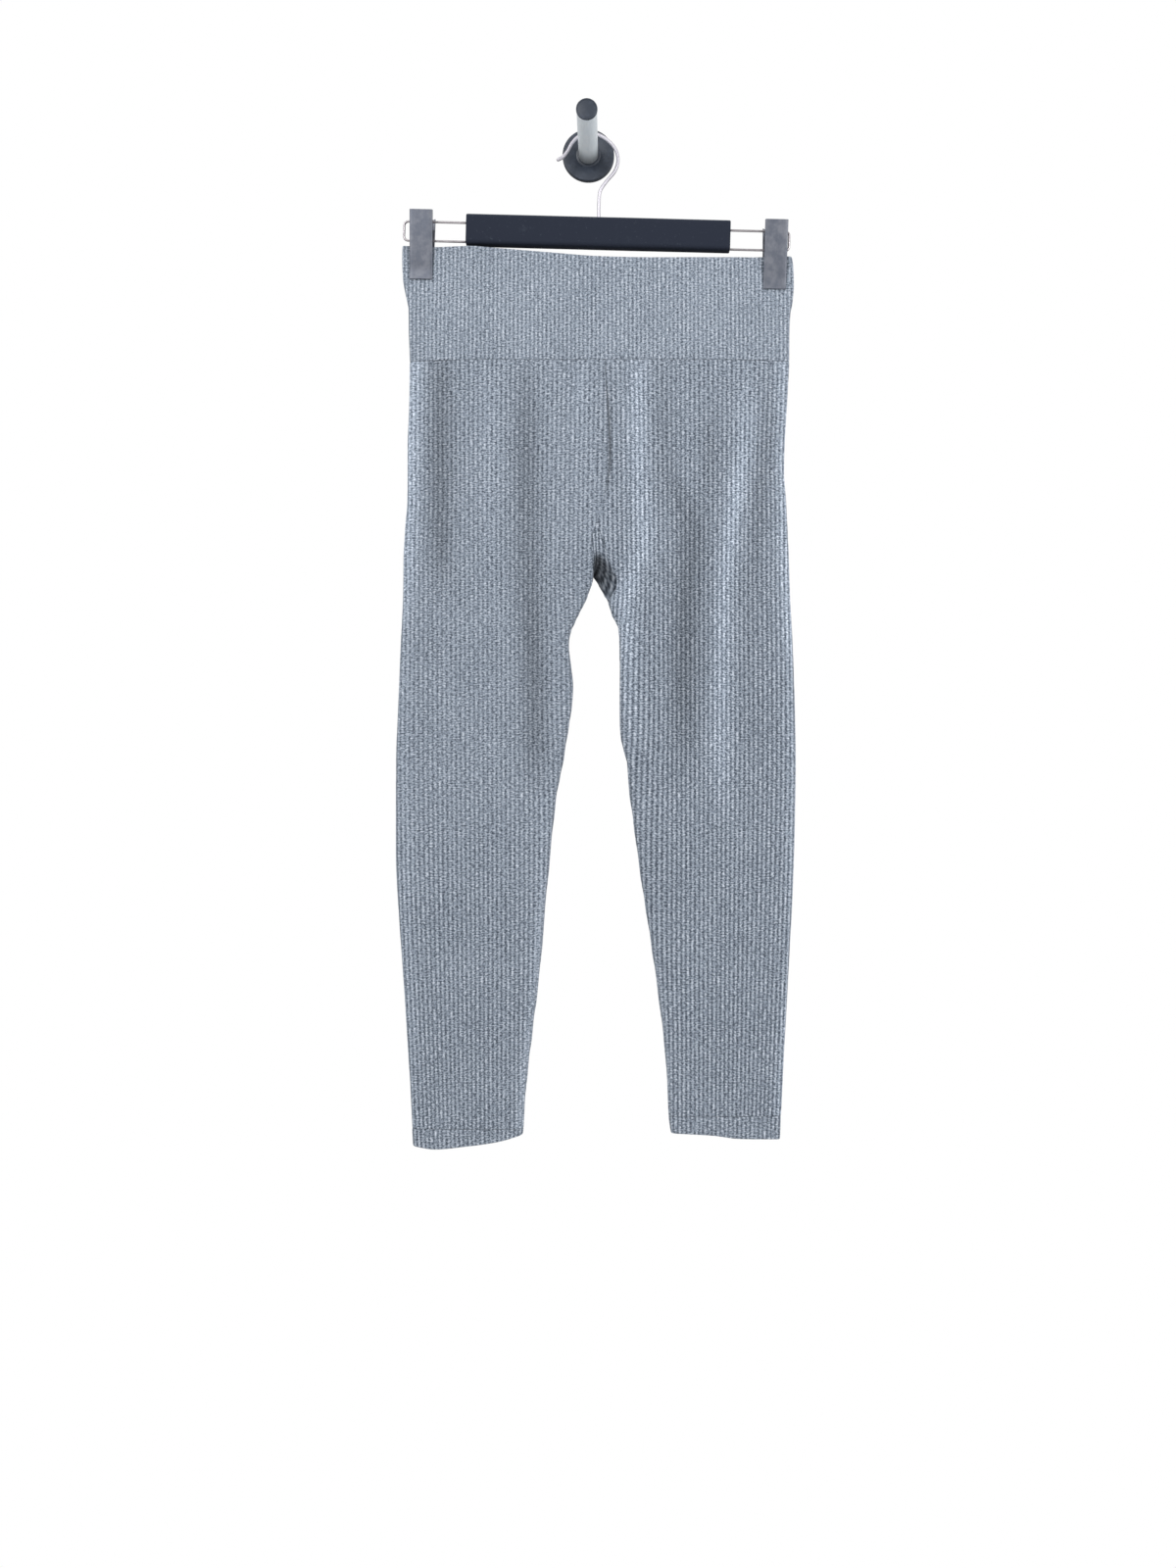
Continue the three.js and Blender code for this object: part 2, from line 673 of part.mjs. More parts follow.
// Ear that reaches from the sheet past the spring's axis, between the wires
function ear() {
  const { reach, halfHeight, corner, pinZ } = CLIP_EAR;
  const rootAt = (z) => along(CLIP_PROFILE, -z) - CLIP.sheet / 2;
  const shape = new THREE.Shape();
  shape.moveTo(rootAt(pinZ + halfHeight), pinZ + halfHeight);
  shape.lineTo(corner - reach, pinZ + halfHeight);
  shape.absarc(corner - reach, pinZ + halfHeight - corner, corner, Math.PI / 2, Math.PI);
  shape.absarc(corner - reach, pinZ - halfHeight + corner, corner, Math.PI, Math.PI * 1.5);
  shape.lineTo(rootAt(pinZ - halfHeight), pinZ - halfHeight);
  shape.closePath();
  return shape;
}

// Shape in the clip's side view (distance to the front, height), given a width along x
function acrossClip(shape, width, x) {
  const settings = { depth: width, bevelEnabled: false, curveSegments: 8 };
  const geometry = new THREE.ExtrudeGeometry(shape, settings);
  geometry.translate(0, 0, -width / 2);
  geometry.rotateX(Math.PI / 2);
  geometry.rotateZ(-Math.PI / 2);
  geometry.translate(x, 0, 0);
  return geometry;
}

function clip(side, place) {
  const group = new THREE.Group();
  const front = named(`clip_${side}_front`, clipPlate(CLIP_EAR.frontX), MATERIALS.clipSteel());
  const back = named(`clip_${side}_back`, clipPlate(CLIP_EAR.backX), MATERIALS.clipSteel());
  back.rotation.z = Math.PI;
  const { radius, sides } = CLIP_SPRING;
  const length = 2 * (CLIP_EAR.backX - CLIP_EAR.sheet / 2 - SEAM_GAP);
  const barrel = new THREE.CylinderGeometry(radius, radius, length, sides);
  barrel.rotateZ(Math.PI / 2);
  barrel.translate(0, 0, CLIP_EAR.pinZ);
  const spring = named(`clip_${side}_spring`, barrel, MATERIALS.wireSteel());
  group.add(front, back, spring);
  group.position.set(place.x, HANG_Y, place.zTop);
  group.rotation.y = THREE.MathUtils.degToRad(place.tilt);
  return group;
}

function hanger() {
  const group = new THREE.Group();
  group.add(named('hanger_bar', barGeometry(), MATERIALS.foam()));
  group.add(named('wire_left', wireLoop(WIRE_LEFT), MATERIALS.wireSteel()));
  group.add(named('wire_right', wireLoop(WIRE_RIGHT), MATERIALS.wireSteel()));
  group.position.set(HANGER.x, HANG_Y, HANGER.z);
  group.rotation.y = THREE.MathUtils.degToRad(HANGER.tilt);
  return group;
}

function hook() {
  const points = HOOK_PATH.map(([x, z]) => new THREE.Vector3(x, HANG_Y, z));
  const path = new THREE.CatmullRomCurve3(points, false, 'centripetal');
  const geometry = wire(path, HOOK_RADIUS, SWEEP.hookSteps, SWEEP.hookSides);
  return named('hook', geometry, MATERIALS.wireSteel());
}

function peg() {
  const group = new THREE.Group();
  const { radius, thickness, bevel } = PLATE;
  const plate = turned([
    [0, -thickness],
    [radius - bevel, -thickness],
    [radius, -thickness + bevel],
    [radius, 0],
    [0, 0],
  ]);
  const rodBack = -thickness - SEAM_GAP;
  const rod = turned([
    [0, ROD.front],
    [ROD.radius, ROD.front],
    [ROD.radius, rodBack],
    [0, rodBack],
  ]);
  const capBack = ROD.front - SEAM_GAP;
  const capFront = capBack - CAP.thickness;
  const cap = turned([
    [0, capFront],
    [CAP.radius - CAP.bevel, capFront],
    [CAP.radius, capFront + CAP.bevel],
    [CAP.radius, capBack],
    [0, capBack],
  ]);
  group.add(named('peg_plate', plate, MATERIALS.blackPlastic()));
  group.add(named('peg_rod', rod, MATERIALS.chrome()));
  group.add(named('peg_cap', cap, MATERIALS.blackPlastic()));
  return group;
}

const leftLeg = leg(LEFT_LEVELS);
const rightLeg = leg(RIGHT_LEVELS);

const leggings = new THREE.Group();
leggings.add(named('waistband', waistband(), MATERIALS.knit()));
leggings.add(named('leg_left', leftLeg.geometry, MATERIALS.knit()));
leggings.add(named('leg_right', rightLeg.geometry, MATERIALS.knit()));
leggings.add(named('gusset', gusset(leftLeg, rightLeg), MATERIALS.knit()));
leggings.add(named('hem_left', hem(HEM_LEFT, HEM_LEFT_EDGE), MATERIALS.knit()));
leggings.add(named('hem_right', hem(HEM_RIGHT, HEM_RIGHT_EDGE), MATERIALS.knit()));

const object = new THREE.Group();
object.add(leggings, hanger(), clip('left', CLIP_LEFT), clip('right', CLIP_RIGHT), hook(), peg());

export default object;
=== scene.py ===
"""Looks of the fine-ribbed leggings on their clip hanger and wall peg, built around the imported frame.

Blender works in metres with +Z up. The wall is the plane y = 0 and the front of the garment faces -Y.
Sizes and tables are in millimetres. Left and right are the viewer's, left at -X.
"""

import logging
import math
from dataclasses import dataclass, field
from enum import Enum
from typing import Any, Callable, Optional, Sequence, Union

import bmesh
import bpy
import numpy as np
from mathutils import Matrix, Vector


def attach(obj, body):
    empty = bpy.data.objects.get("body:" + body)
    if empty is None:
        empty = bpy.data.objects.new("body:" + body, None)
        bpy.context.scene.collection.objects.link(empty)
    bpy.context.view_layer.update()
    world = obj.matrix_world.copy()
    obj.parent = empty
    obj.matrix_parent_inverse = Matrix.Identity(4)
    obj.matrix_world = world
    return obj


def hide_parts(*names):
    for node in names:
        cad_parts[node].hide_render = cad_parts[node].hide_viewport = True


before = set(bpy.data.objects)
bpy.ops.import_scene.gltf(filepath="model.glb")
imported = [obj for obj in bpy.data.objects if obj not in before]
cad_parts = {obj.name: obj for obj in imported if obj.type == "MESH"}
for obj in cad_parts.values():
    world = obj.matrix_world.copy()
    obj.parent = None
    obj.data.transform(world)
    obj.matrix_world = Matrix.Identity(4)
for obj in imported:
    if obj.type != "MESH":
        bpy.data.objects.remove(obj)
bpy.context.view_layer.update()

log = logging.getLogger("leggings")
logging.basicConfig(level=logging.INFO, format="%(name)s: %(message)s")

MM = 0.001
HANG_Y = -25.0
SEAM_GAP = 0.3
BODY = "root"
KNIT_MAP = "knit"
SHADE_MAP = "shade"
TURN = 2 * math.pi
QUARTER = math.pi / 2

Array = np.ndarray
Colour = tuple[float, float, float]
Table = tuple[tuple[float, ...], ...]
Piece = bpy.types.Object


class Slot(Enum):
    """Material slots of the record."""

    KNIT = "knit"
    FOAM = "bar_foam"
    CLIP = "clip_steel"
    WIRE = "wire"
    CHROME = "peg_chrome"
    BLACK = "peg_black"


class Face(Enum):
    """The two layers of a tube laid flat, by the side of the middle plane that they lie on."""

    FRONT = -1
    BACK = 1


# Curves and places


def smooth(table: Table, at: Any, column: int = 1) -> Array:
    """Read a table as a smooth curve that never overshoots its rows.

    Args:
        table: Rows whose first column rises or falls steadily.
        at: Places in the first column, one number or an array.
        column: The column to read.

    Returns:
        The values at those places.
    """
    rows = np.array(sorted(table, key=lambda row: row[0]), dtype=float)
    return eased(rows[:, 0], rows[:, column], np.asarray(at, dtype=float))


def eased(knots: Array, values: Array, at: Array) -> Array:
    """Cubic through values at rising knots, flat where the values turn.

    Args:
        knots: Rising places.
        values: Values there.
        at: Places to read.

    Returns:
        The values at those places.
    """
    gap = np.diff(knots)
    slope = np.diff(values) / gap
    lean = np.zeros(len(values))
    same = slope[:-1] * slope[1:] > 0
    total = np.where(same, slope[:-1] + slope[1:], 1.0)
    lean[1:-1] = np.where(same, 2 * slope[:-1] * slope[1:] / total, 0.0)
    lean[0] = slope[0]
    lean[-1] = slope[-1]
    i = np.clip(np.searchsorted(knots, at, side="right") - 1, 0, len(gap) - 1)
    t = np.clip((at - knots[i]) / gap[i], 0.0, 1.0)
    start = values[i] * (2 * t**3 - 3 * t**2 + 1) + gap[i] * lean[i] * (t**3 - 2 * t**2 + t)
    end = values[i + 1] * (3 * t**2 - 2 * t**3) + gap[i] * lean[i + 1] * (t**3 - t**2)
    return start + end


def wire_curve(points: Sequence[Sequence[float]], count: int) -> Array:
    """Bent wire's middle line, a centripetal curve through its points.

    Args:
        points: Places along the wire.
        count: Places to return.

    Returns:
        An array of count places.
    """
    given = np.array(points, dtype=float)
    padded = np.vstack([2 * given[0] - given[1], given, 2 * given[-1] - given[-2]])
    spans = len(given) - 1
    line = []
    for place in np.linspace(0, spans, count):
        i = min(int(place), spans - 1)
        near = padded[i:i + 4]
        gaps = np.sqrt(np.linalg.norm(np.diff(near, axis=0), axis=1))
        knots = np.concatenate([[0.0], np.cumsum(gaps)])
        t = knots[1] + (place - i) * gaps[1]
        for reach in (1, 2):
            ends = range(4 - reach)
            near = [between(near[j], near[j + 1], knots[j], knots[j + reach], t) for j in ends]
        line.append(between(near[0], near[1], knots[1], knots[2], t))
    return np.array(line)


def smoothstep(share: Array) -> Array:
    """Soft step from 0 at 0 to 1 at 1."""
    inside = np.clip(share, 0.0, 1.0)
    return inside * inside * (3 - 2 * inside)


def between(first: Array, second: Array, start: float, end: float, at: float) -> Array:
    """Place on a straight line that passes first at start and second at end."""
    share = (at - start) / (end - start)
    return first + (second - first) * share


def tilted(points: Array, origin: Sequence[float], degrees: float) -> Array:
    """Turn points about the Y axis, as a clockwise lean seen from the front, then move them.

    Args:
        points: Places round the origin, in millimetres.
        origin: Where their origin goes.
        degrees: The lean.

    Returns:
        The moved places.
    """
    angle = math.radians(degrees)
    x = points[..., 0] * math.cos(angle) + points[..., 2] * math.sin(angle)
    z = points[..., 2] * math.cos(angle) - points[..., 0] * math.sin(angle)
    return np.stack([x, points[..., 1], z], axis=-1) + np.array(origin, dtype=float)


class Sculpt:
    """Corners, faces and knit places of one piece, gathered in millimetres and made into a mesh."""

    def __init__(self, name: str) -> None:
        """Start an empty piece.

        Args:
            name: The piece's name.
        """
        self.name = name
        self.corners: list[Array] = []
        self.places: list[Array] = []
        self.shades: list[Array] = []
        self.faces: list[tuple[int, ...]] = []
        self.count = 0

    def add(self, points: Array, places: Optional[Array] = None, shades: Optional[Array] = None) -> Array:
        """Add corners.

        Args:
            points: Places of the corners, with x, y and z in the last axis.
            places: Their knit places, ribs across and millimetres down.
            shades: Painted light and shade there, as how much paler the cloth is, and how clear its ribs
                are.

        Returns:
            The corners' numbers, in the shape of points without its last axis.
        """
        flat = points.reshape(-1, 3)
        self.corners.append(flat)
        self.places.append(np.zeros((len(flat), 2)) if places is None else places.reshape(-1, 2))
        self.shades.append(np.zeros((len(flat), 2)) if shades is None else shades.reshape(-1, 2))
        numbers = np.arange(self.count, self.count + len(flat)).reshape(points.shape[:-1])
        self.count += len(flat)
        return numbers

    def face(self, corners: Sequence[int], flip: bool = False) -> None:
        """Add a face, without the corners that fall on the one before, if a face is left.

        Args:
            corners: Corner numbers in order.
            flip: Whether the face points the other way.
        """
        ring = [int(c) for i, c in enumerate(corners) if c != corners[i - 1]]
        if len(ring) > 2:
            self.faces.append(tuple(reversed(ring)) if flip else tuple(ring))

    def sheet(self, grid: Array, flip: bool = False, around: bool = False) -> None:
        """Fill a grid of corner numbers with faces.

        Args:
            grid: Corner numbers in rows.
            flip: Whether the faces point the other way.
            around: Whether each row's last corner joins its first.
        """
        rows, columns = grid.shape
        for r in range(rows - 1):
            for k in range(columns if around else columns - 1):
                n = (k + 1) % columns
                self.face((grid[r, k], grid[r + 1, k], grid[r + 1, n], grid[r, n]), flip)

    def slab(self, outer: Array, inner: Array, flip: bool = False, **knit: Array) -> None:
        """Add a sheet with thickness: two grids of places and the rim between them.

        Args:
            outer: Places of the outer side, in rows.
            inner: Places of the inner side, in the same rows.
            flip: Whether the outer side's faces point the other way.
            knit: Knit places and shades of the grid, as for add.
        """
        a = self.add(outer, **knit)
        b = self.add(inner, **knit)
        self.sheet(a, flip)
        self.sheet(b, not flip)
        self.sheet(np.stack([a[0], b[0]]), not flip)
        self.sheet(np.stack([a[-1], b[-1]]), flip)
        self.sheet(np.stack([a[:, 0], b[:, 0]]), flip)
        self.sheet(np.stack([a[:, -1], b[:, -1]]), not flip)

    def tube(self, path: Array, radius: float, sides: int) -> None:
        """Sweep a round wire with domed ends along a path.

        Args:
            path: Places of its middle line.
            radius: The wire's radius.
            sides: Corners round it.
        """
        steps = np.linspace(0, QUARTER, 4)
        ahead = np.gradient(path, axis=0)
        ahead /= np.linalg.norm(ahead, axis=1, keepdims=True)

        def dome(end: int, reach: float) -> list[tuple[Array, Array, float]]:
            """Rings of a domed end, from its tip."""
            tip = ahead[end] * reach
            return [(path[end] + tip * math.cos(a), ahead[end], radius * math.sin(a)) for a in steps]

        body = [(p, t, radius) for p, t in zip(path[1:-1], ahead[1:-1])]
        rings = dome(0, -radius) + body + dome(-1, radius)[::-1]
        side = np.cross(rings[0][1], (0.13, 0.97, 0.21))
        angles = np.arange(sides) * TURN / sides
        lines = []
        for centre, tangent, size in rings:
            side = side - tangent * np.dot(side, tangent)
            side /= np.linalg.norm(side)
            other = np.cross(tangent, side)
            size = max(size, radius * 0.02)
            lines.append(centre + size * (np.outer(np.cos(angles), side) + np.outer(np.sin(angles), other)))
        grid = self.add(np.array(lines))
        self.sheet(grid, flip=True, around=True)
        self.face(tuple(grid[0]))
        self.face(tuple(grid[-1]), flip=True)

    def turned(self, profile: Sequence[Sequence[float]], sides: int) -> None:
        """Turn a profile about the Y axis.

        Args:
            profile: Radius and y of each corner, from the front's middle to the back's.
            sides: Corners round it.
        """
        angles = np.arange(sides) * TURN / sides
        rows = [[(r * math.cos(a), y, r * math.sin(a)) for a in angles] for r, y in profile]
        grid = self.add(np.array(rows))
        self.sheet(grid, around=True)
        self.face(tuple(grid[0]), flip=True)
        self.face(tuple(grid[-1]))

    def finish(self, sharp_degrees: float = 180.0, merge: float = 1e-4) -> Piece:
        """Make the mesh object.

        Args:
            sharp_degrees: Edges with a greater angle stay sharp.
            merge: Distance in millimetres under which corners are joined.

        Returns:
            The object, in metres, linked to the scene.
        """
        mesh = bpy.data.meshes.new(self.name)
        mesh.from_pydata((np.vstack(self.corners) * MM).tolist(), [], self.faces)
        corner_of = np.zeros(len(mesh.loops), dtype=np.int32)
        mesh.loops.foreach_get("vertex_index", corner_of)
        for name, values in ((KNIT_MAP, self.places), (SHADE_MAP, self.shades)):
            layer = mesh.uv_layers.new(name=name)
            layer.data.foreach_set("uv", np.vstack(values)[corner_of].ravel())
        self.join_corners(mesh, merge)
        mesh.polygons.foreach_set("use_smooth", [True] * len(mesh.polygons))
        if sharp_degrees < 180.0:
            mesh.set_sharp_from_angle(angle=math.radians(sharp_degrees))
        piece = bpy.data.objects.new(self.name, mesh)
        bpy.context.scene.collection.objects.link(piece)
        return piece

    def join_corners(self, mesh: bpy.types.Mesh, merge: float) -> None:
        """Join corners that lie in the same place.

        Args:
            mesh: The piece's mesh.
            merge: Distance in millimetres under which corners are joined.
        """
        shape = bmesh.new()
        shape.from_mesh(mesh)
        bmesh.ops.remove_doubles(shape, verts=shape.verts, dist=merge * MM)
        shape.to_mesh(mesh)
        shape.free()


def dress(piece: Piece, material: bpy.types.Material, slot: Slot, *nodes: str) -> Piece:
    """Give a piece its finish and its body, and hide the CAD nodes that it stands for.

    Args:
        piece: The new piece.
        material: Its finish.
        slot: The record's slot; not used.
        nodes: The nodes that it replaces.

    Returns:
        The same piece.
    """
    piece.data.materials.append(material)
    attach(piece, BODY)
    if nodes:
        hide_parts(*nodes)
    return piece


# Shader maths

Number = Union[float, int]


class Signal:
    """A socket of a material, so that plain arithmetic adds its Math nodes."""

    def __init__(self, shading: "Shading", socket: bpy.types.NodeSocket) -> None:
        """Wrap a socket of a material."""
        self.shading = shading
        self.socket = socket

    def math(self, operation: str, *others: "Term") -> "Signal":
        """Pass this value, and others, through a Math node."""
        inputs = dict(enumerate([self, *others]))
        return self.shading.node("ShaderNodeMath", {"operation": operation}, inputs)

    def __add__(self, other: "Term") -> "Signal":
        """Sum."""
        return self.math("ADD", other)

    def __sub__(self, other: "Term") -> "Signal":
        """Difference."""
        return self.math("SUBTRACT", other)

    def __mul__(self, other: "Term") -> "Signal":
        """Product."""
        return self.math("MULTIPLY", other)

    def __pow__(self, other: "Term") -> "Signal":
        """Power."""
        return self.math("POWER", other)

    def __rsub__(self, other: Number) -> "Signal":
        """Number less this value."""
        return self.shading.node("ShaderNodeMath", {"operation": "SUBTRACT"}, {0: other, 1: self})

    def __rpow__(self, other: Number) -> "Signal":
        """Number to the power of this value."""
        return self.shading.node("ShaderNodeMath", {"operation": "POWER"}, {0: other, 1: self})

    __radd__ = __add__
    __rmul__ = __mul__

    def clamped(self, most: float = 1.0) -> "Signal":
        """This value between 0 and a greatest one."""
        return self.shading.node("ShaderNodeClamp", {}, {"Value": self, "Max": most})

    def wave(self, period: float = 1.0, shift: "Term" = 0.0) -> "Signal":
        """Smooth wave from 0 to 1 that peaks at each whole period."""
        return (self * (TURN / period) + shift).math("COSINE") * 0.5 + 0.5

    def step_at(self, low: float, high: float) -> "Signal":
        """Smooth step from 0 at low to 1 at high.

        Args:
            low: Value up to which the step is 0.
            high: Value from which the step is 1.

        Returns:
            The step.
        """
        settings = {"interpolation_type": "SMOOTHSTEP"}
        inputs = {"Value": self, "From Min": low, "From Max": high}
        return self.shading.node("ShaderNodeMapRange", settings, inputs)


Term = Union[Signal, Number]


class Shading:
    """One material's nodes, round a Principled shader."""

    def __init__(self, name: str) -> None:
        """Start a material with only its shader and output.

        Args:
            name: The material's name.
        """
        self.material = bpy.data.materials.new(name)
        self.material.use_nodes = True
        self.tree = self.material.node_tree
        self.tree.nodes.clear()
        self.shader = self.node("ShaderNodeBsdfPrincipled")
        self.node("ShaderNodeOutputMaterial", {}, {"Surface": self.shader}, output=None)

    def node(
        self,
        kind: str,
        settings: Optional[dict[str, Any]] = None,
        inputs: Optional[dict[Union[str, int], Any]] = None,
        output: Optional[Union[str, int]] = 0,
    ) -> Any:
        """Add any node.

        Args:
            kind: The node's type.
            settings: Its own settings, set first.
            inputs: Values or signals for its sockets.
            output: The output to return, or None.

        Returns:
            A signal of that output, or the node.
        """
        node = self.tree.nodes.new(kind)
        for key, value in (settings or {}).items():
            setattr(node, key, value)
        for key, value in (inputs or {}).items():
            if isinstance(value, Signal):
                self.tree.links.new(value.socket, node.inputs[key])
            else:
                node.inputs[key].default_value = value
        return node if output is None else Signal(self, node.outputs[output])

    def set(self, **values: Any) -> None:
        """Set or link sockets of the shader, named with _ for a space."""
        node = self.shader.socket.node
        for key, value in values.items():
            name = key.replace("_", " ")
            if isinstance(value, Signal):
                self.tree.links.new(value.socket, node.inputs[name])
            else:
                node.inputs[name].default_value = value

    def object_place(self) -> Signal:
        """Place in the object's own space."""
        return self.node("ShaderNodeTexCoord", output="Object")

    def parts(self, vector: Signal) -> tuple[Signal, Signal, Signal]:
        """Split a vector."""
        node = self.node("ShaderNodeSeparateXYZ", {}, {"Vector": vector}, output=None)
        return tuple(Signal(self, socket) for socket in node.outputs)

    def vector(self, x: Term = 0.0, y: Term = 0.0, z: Term = 0.0) -> Signal:
        """Make a vector of three values."""
        return self.node("ShaderNodeCombineXYZ", {}, {"X": x, "Y": y, "Z": z})

    def scaled(self, vector: Signal, factor: Term) -> Signal:
        """Multiply a vector or a colour by one value."""
        inputs = {"Vector": vector, "Scale": factor}
        return self.node("ShaderNodeVectorMath", {"operation": "SCALE"}, inputs, output="Vector")

    def map_place(self, name: str) -> tuple[Signal, Signal]:
        """Both values of one of the mesh's maps."""
        across, down, _ = self.parts(self.node("ShaderNodeUVMap", {"uv_map": name}))
        return across, down

    def noise(self, place: Signal, scale: float = 1.0, detail: float = 0.0, rough: float = 0.5) -> Signal:
        """Soft noise from 0 to 1."""
        inputs = {"Vector": place, "Scale": scale, "Detail": detail, "Roughness": rough}
        return self.node("ShaderNodeTexNoise", {}, inputs, output="Fac")

    def ramp(self, value: Signal, *stops: tuple[float, Colour]) -> Signal:
        """Colour that runs through stops as the value rises.

        Args:
            value: Place along the ramp, from 0 to 1.
            stops: Places and colours, in rising order.

        Returns:
            The colour.
        """
        node = self.node("ShaderNodeValToRGB", {}, {"Fac": value}, output=None)
        while len(node.color_ramp.elements) < len(stops):
            node.color_ramp.elements.new(1.0)
        for element, (place, colour) in zip(node.color_ramp.elements, stops):
            element.position = place
            element.color = (*colour, 1.0)
        return Signal(self, node.outputs["Color"])

    def mix(self, share: Term, first: Union[Signal, Colour], second: Union[Signal, Colour]) -> Signal:
        """Mix two colours.

        Args:
            share: Share of the second colour.
            first: A colour.
            second: Another colour.

        Returns:
            The mixed colour.
        """
        pair = [c if isinstance(c, Signal) else (*c, 1.0) for c in (first, second)]
        inputs = {0: share, 6: pair[0], 7: pair[1]}
        return self.node("ShaderNodeMix", {"data_type": "RGBA"}, inputs, output=2)

    def bump(self, height: Signal, depth: float, strength: float = 1.0) -> Signal:
        """Normal of a surface raised by a height from 0 to 1 times a depth in millimetres."""
        inputs = {"Height": height, "Distance": depth * MM, "Strength": strength}
        return self.node("ShaderNodeBump", {}, inputs)


@dataclass(frozen=True)
class KnitFinish:
    """Grey heather rib knit: flecked yarn, with painted highlights along the crests and painted shade in
    the valleys between stitches.
    """

    name: str = "heather_rib_knit"
    dark: Colour = (0.058, 0.072, 0.096)
    middle: Colour = (0.290, 0.335, 0.400)
    light: Colour = (0.665, 0.71, 0.79)
    tone: float = 0.42
    # Strengths of the painted highlight along the crests and of the painted shade in the valleys between
    # stitches
    crest: float = 0.25
    valley_shade: float = 0.34
    heather: float = 1.35
    fleck: float = 1.30
    course: float = 3.45
    bump_depth: float = 0.28
    # Patches of each noise to a rib across, and to a millimetre down
    line_grain: tuple[float, float] = (3.71, 0.11)
    yarn_grain: tuple[float, float] = (1.1, 0.75)
    fleck_grain: tuple[float, float] = (2.5, 0.62)

    def make(self) -> bpy.types.Material:
        """Build the material.

        Returns:
            The material.
        """
        s = Shading(self.name)
        across, down = s.map_place(KNIT_MAP)
        shade, clear = s.map_place(SHADE_MAP)
        rib = (across + 0.5).math("FLOOR")
        crest = across.wave()
        line_x, line_z = self.line_grain
        yarn_x, yarn_z = self.yarn_grain
        fleck_x, fleck_z = self.fleck_grain
        broken = s.noise(s.vector(rib * line_x, down * line_z), 1.0, 1.0).step_at(0.30, 0.70)
        stitch = down.wave(self.course, rib * 2.4)
        yarn = s.noise(s.vector(across * yarn_x, down * yarn_z, 3.0), 1.0, 1.0, 0.6)
        fleck = s.noise(s.vector(across * fleck_x, down * fleck_z, 9.0), 1.0, 1.0, 0.6)
        cloud = s.noise(s.object_place(), 22.0, 2.0)
        # Painted highlight along each crest, broken into brighter and duller stretches
        line = crest ** 2.2 * (broken * 0.9 + 0.3)
        tone = (
            (line - 0.3) * clear * self.crest
            # Painted shade in the valleys, darkest between stitches
            - (1 - crest) ** 3.0 * (stitch * 0.8 + 0.2) * clear * self.valley_shade
            + (yarn - 0.5) * self.heather
            + (fleck - 0.5) * self.fleck
            + (cloud - 0.5) * 0.12
            + self.tone
        )
        colour = s.ramp(tone.clamped(), (0.0, self.dark), (0.5, self.middle), (1.0, self.light))
        height = crest * (stitch * 0.35 + 0.4) + yarn * 0.5
        s.set(
            Base_Color=s.scaled(colour, (shade + 1).clamped(2.4)),
            Roughness=0.93,
            Sheen_Weight=0.12,
            Sheen_Roughness=0.5,
            Specular_IOR_Level=0.2,
            Normal=s.bump(height, self.bump_depth),
        )
        return s.material


@dataclass(frozen=True)
class FoamFinish:
    """Dark foam sleeve: matt, finely pored, with dusty scuffs and lint, and painted light along its upward
    faces.
    """

    name: str = "dark_foam_sleeve"
    base: Colour = (0.011, 0.016, 0.031)
    # Paler colour of the scuffs and lint, also used for the painted light on upward faces
    dust: Colour = (0.055, 0.068, 0.092)

    def make(self) -> bpy.types.Material:
        """Build the material.

        Returns:
            The material.
        """
        s = Shading(self.name)
        place = s.object_place()
        pores = s.noise(place, 1600.0, 2.0, 0.6)
        scuffs = s.noise(place, 55.0, 5.0, 0.72).step_at(0.60, 0.82)
        # Painted light: faces that point up are mixed towards the paler colour, as if lit from above
        _, _, up = s.parts(s.node("ShaderNodeNewGeometry", output="Normal"))
        lint = s.noise(place, 420.0, 1.0).step_at(0.70, 0.78)
        # Mask of the scuffs, the lint and the painted top light
        dusty = (scuffs * 0.35 + up.step_at(0.2, 1.0) * 0.55 + lint * 0.4).clamped()
        s.set(
            Base_Color=s.mix(dusty, self.base, self.dust),
            Roughness=0.78 + pores * 0.15,
            Specular_IOR_Level=0.35,
            Normal=s.bump(pores, 0.12, 0.6),
        )
        return s.material


@dataclass(frozen=True)
class MetalFinish:
    """Steel or plating, brushed along one axis, with soft smudges."""

    name: str
    base: Colour
    worn: Colour
    roughness: float
    grain: tuple[float, float, float]
    grain_depth: float
    metallic: float = 1.0
    shaded_end: Optional[tuple[float, float]] = None

    def make(self) -> bpy.types.Material:
        """Build the material.

        Returns:
            The material.
        """
        s = Shading(self.name)
        place = s.object_place()
        x, y, z = s.parts(place)
        lines = s.noise(s.vector(x * self.grain[0], y * self.grain[1], z * self.grain[2]), 1.0, 2.0, 0.6)
        smudge = s.noise(place, 90.0, 3.0, 0.6)
        share = (smudge.step_at(0.35, 0.7) * 0.7 + lines * 0.3).clamped()
        colour = s.mix(share, self.base, self.worn)
        if self.shaded_end:
            colour = s.scaled(colour, 1 - y.step_at(*self.shaded_end) * 0.7)
        s.set(
            Base_Color=colour,
            Metallic=self.metallic,
            Roughness=self.roughness + (smudge - 0.5) * 0.12 + (lines - 0.5) * 0.1,
            Normal=s.bump(lines, self.grain_depth, 0.5),
        )
        return s.material


@dataclass(frozen=True)
class BlackFinish:
    """Satin black plastic of the peg's plate and cap, with a faint moulded grain."""

    name: str = "satin_black_plastic"
    base: Colour = (0.025, 0.034, 0.052)
    dusty: Colour = (0.050, 0.064, 0.092)

    def make(self) -> bpy.types.Material:
        """Build the material.

        Returns:
            The material.
        """
        s = Shading(self.name)
        place = s.object_place()
        grain = s.noise(place, 900.0, 2.0)
        dust = s.noise(place, 130.0, 4.0, 0.7).step_at(0.45, 0.8)
        s.set(
            Base_Color=s.mix(dust, self.base, self.dusty),
            Roughness=0.42 + dust * 0.15 + (grain - 0.5) * 0.1,
            Normal=s.bump(grain, 0.05, 0.5),
        )
        return s.material


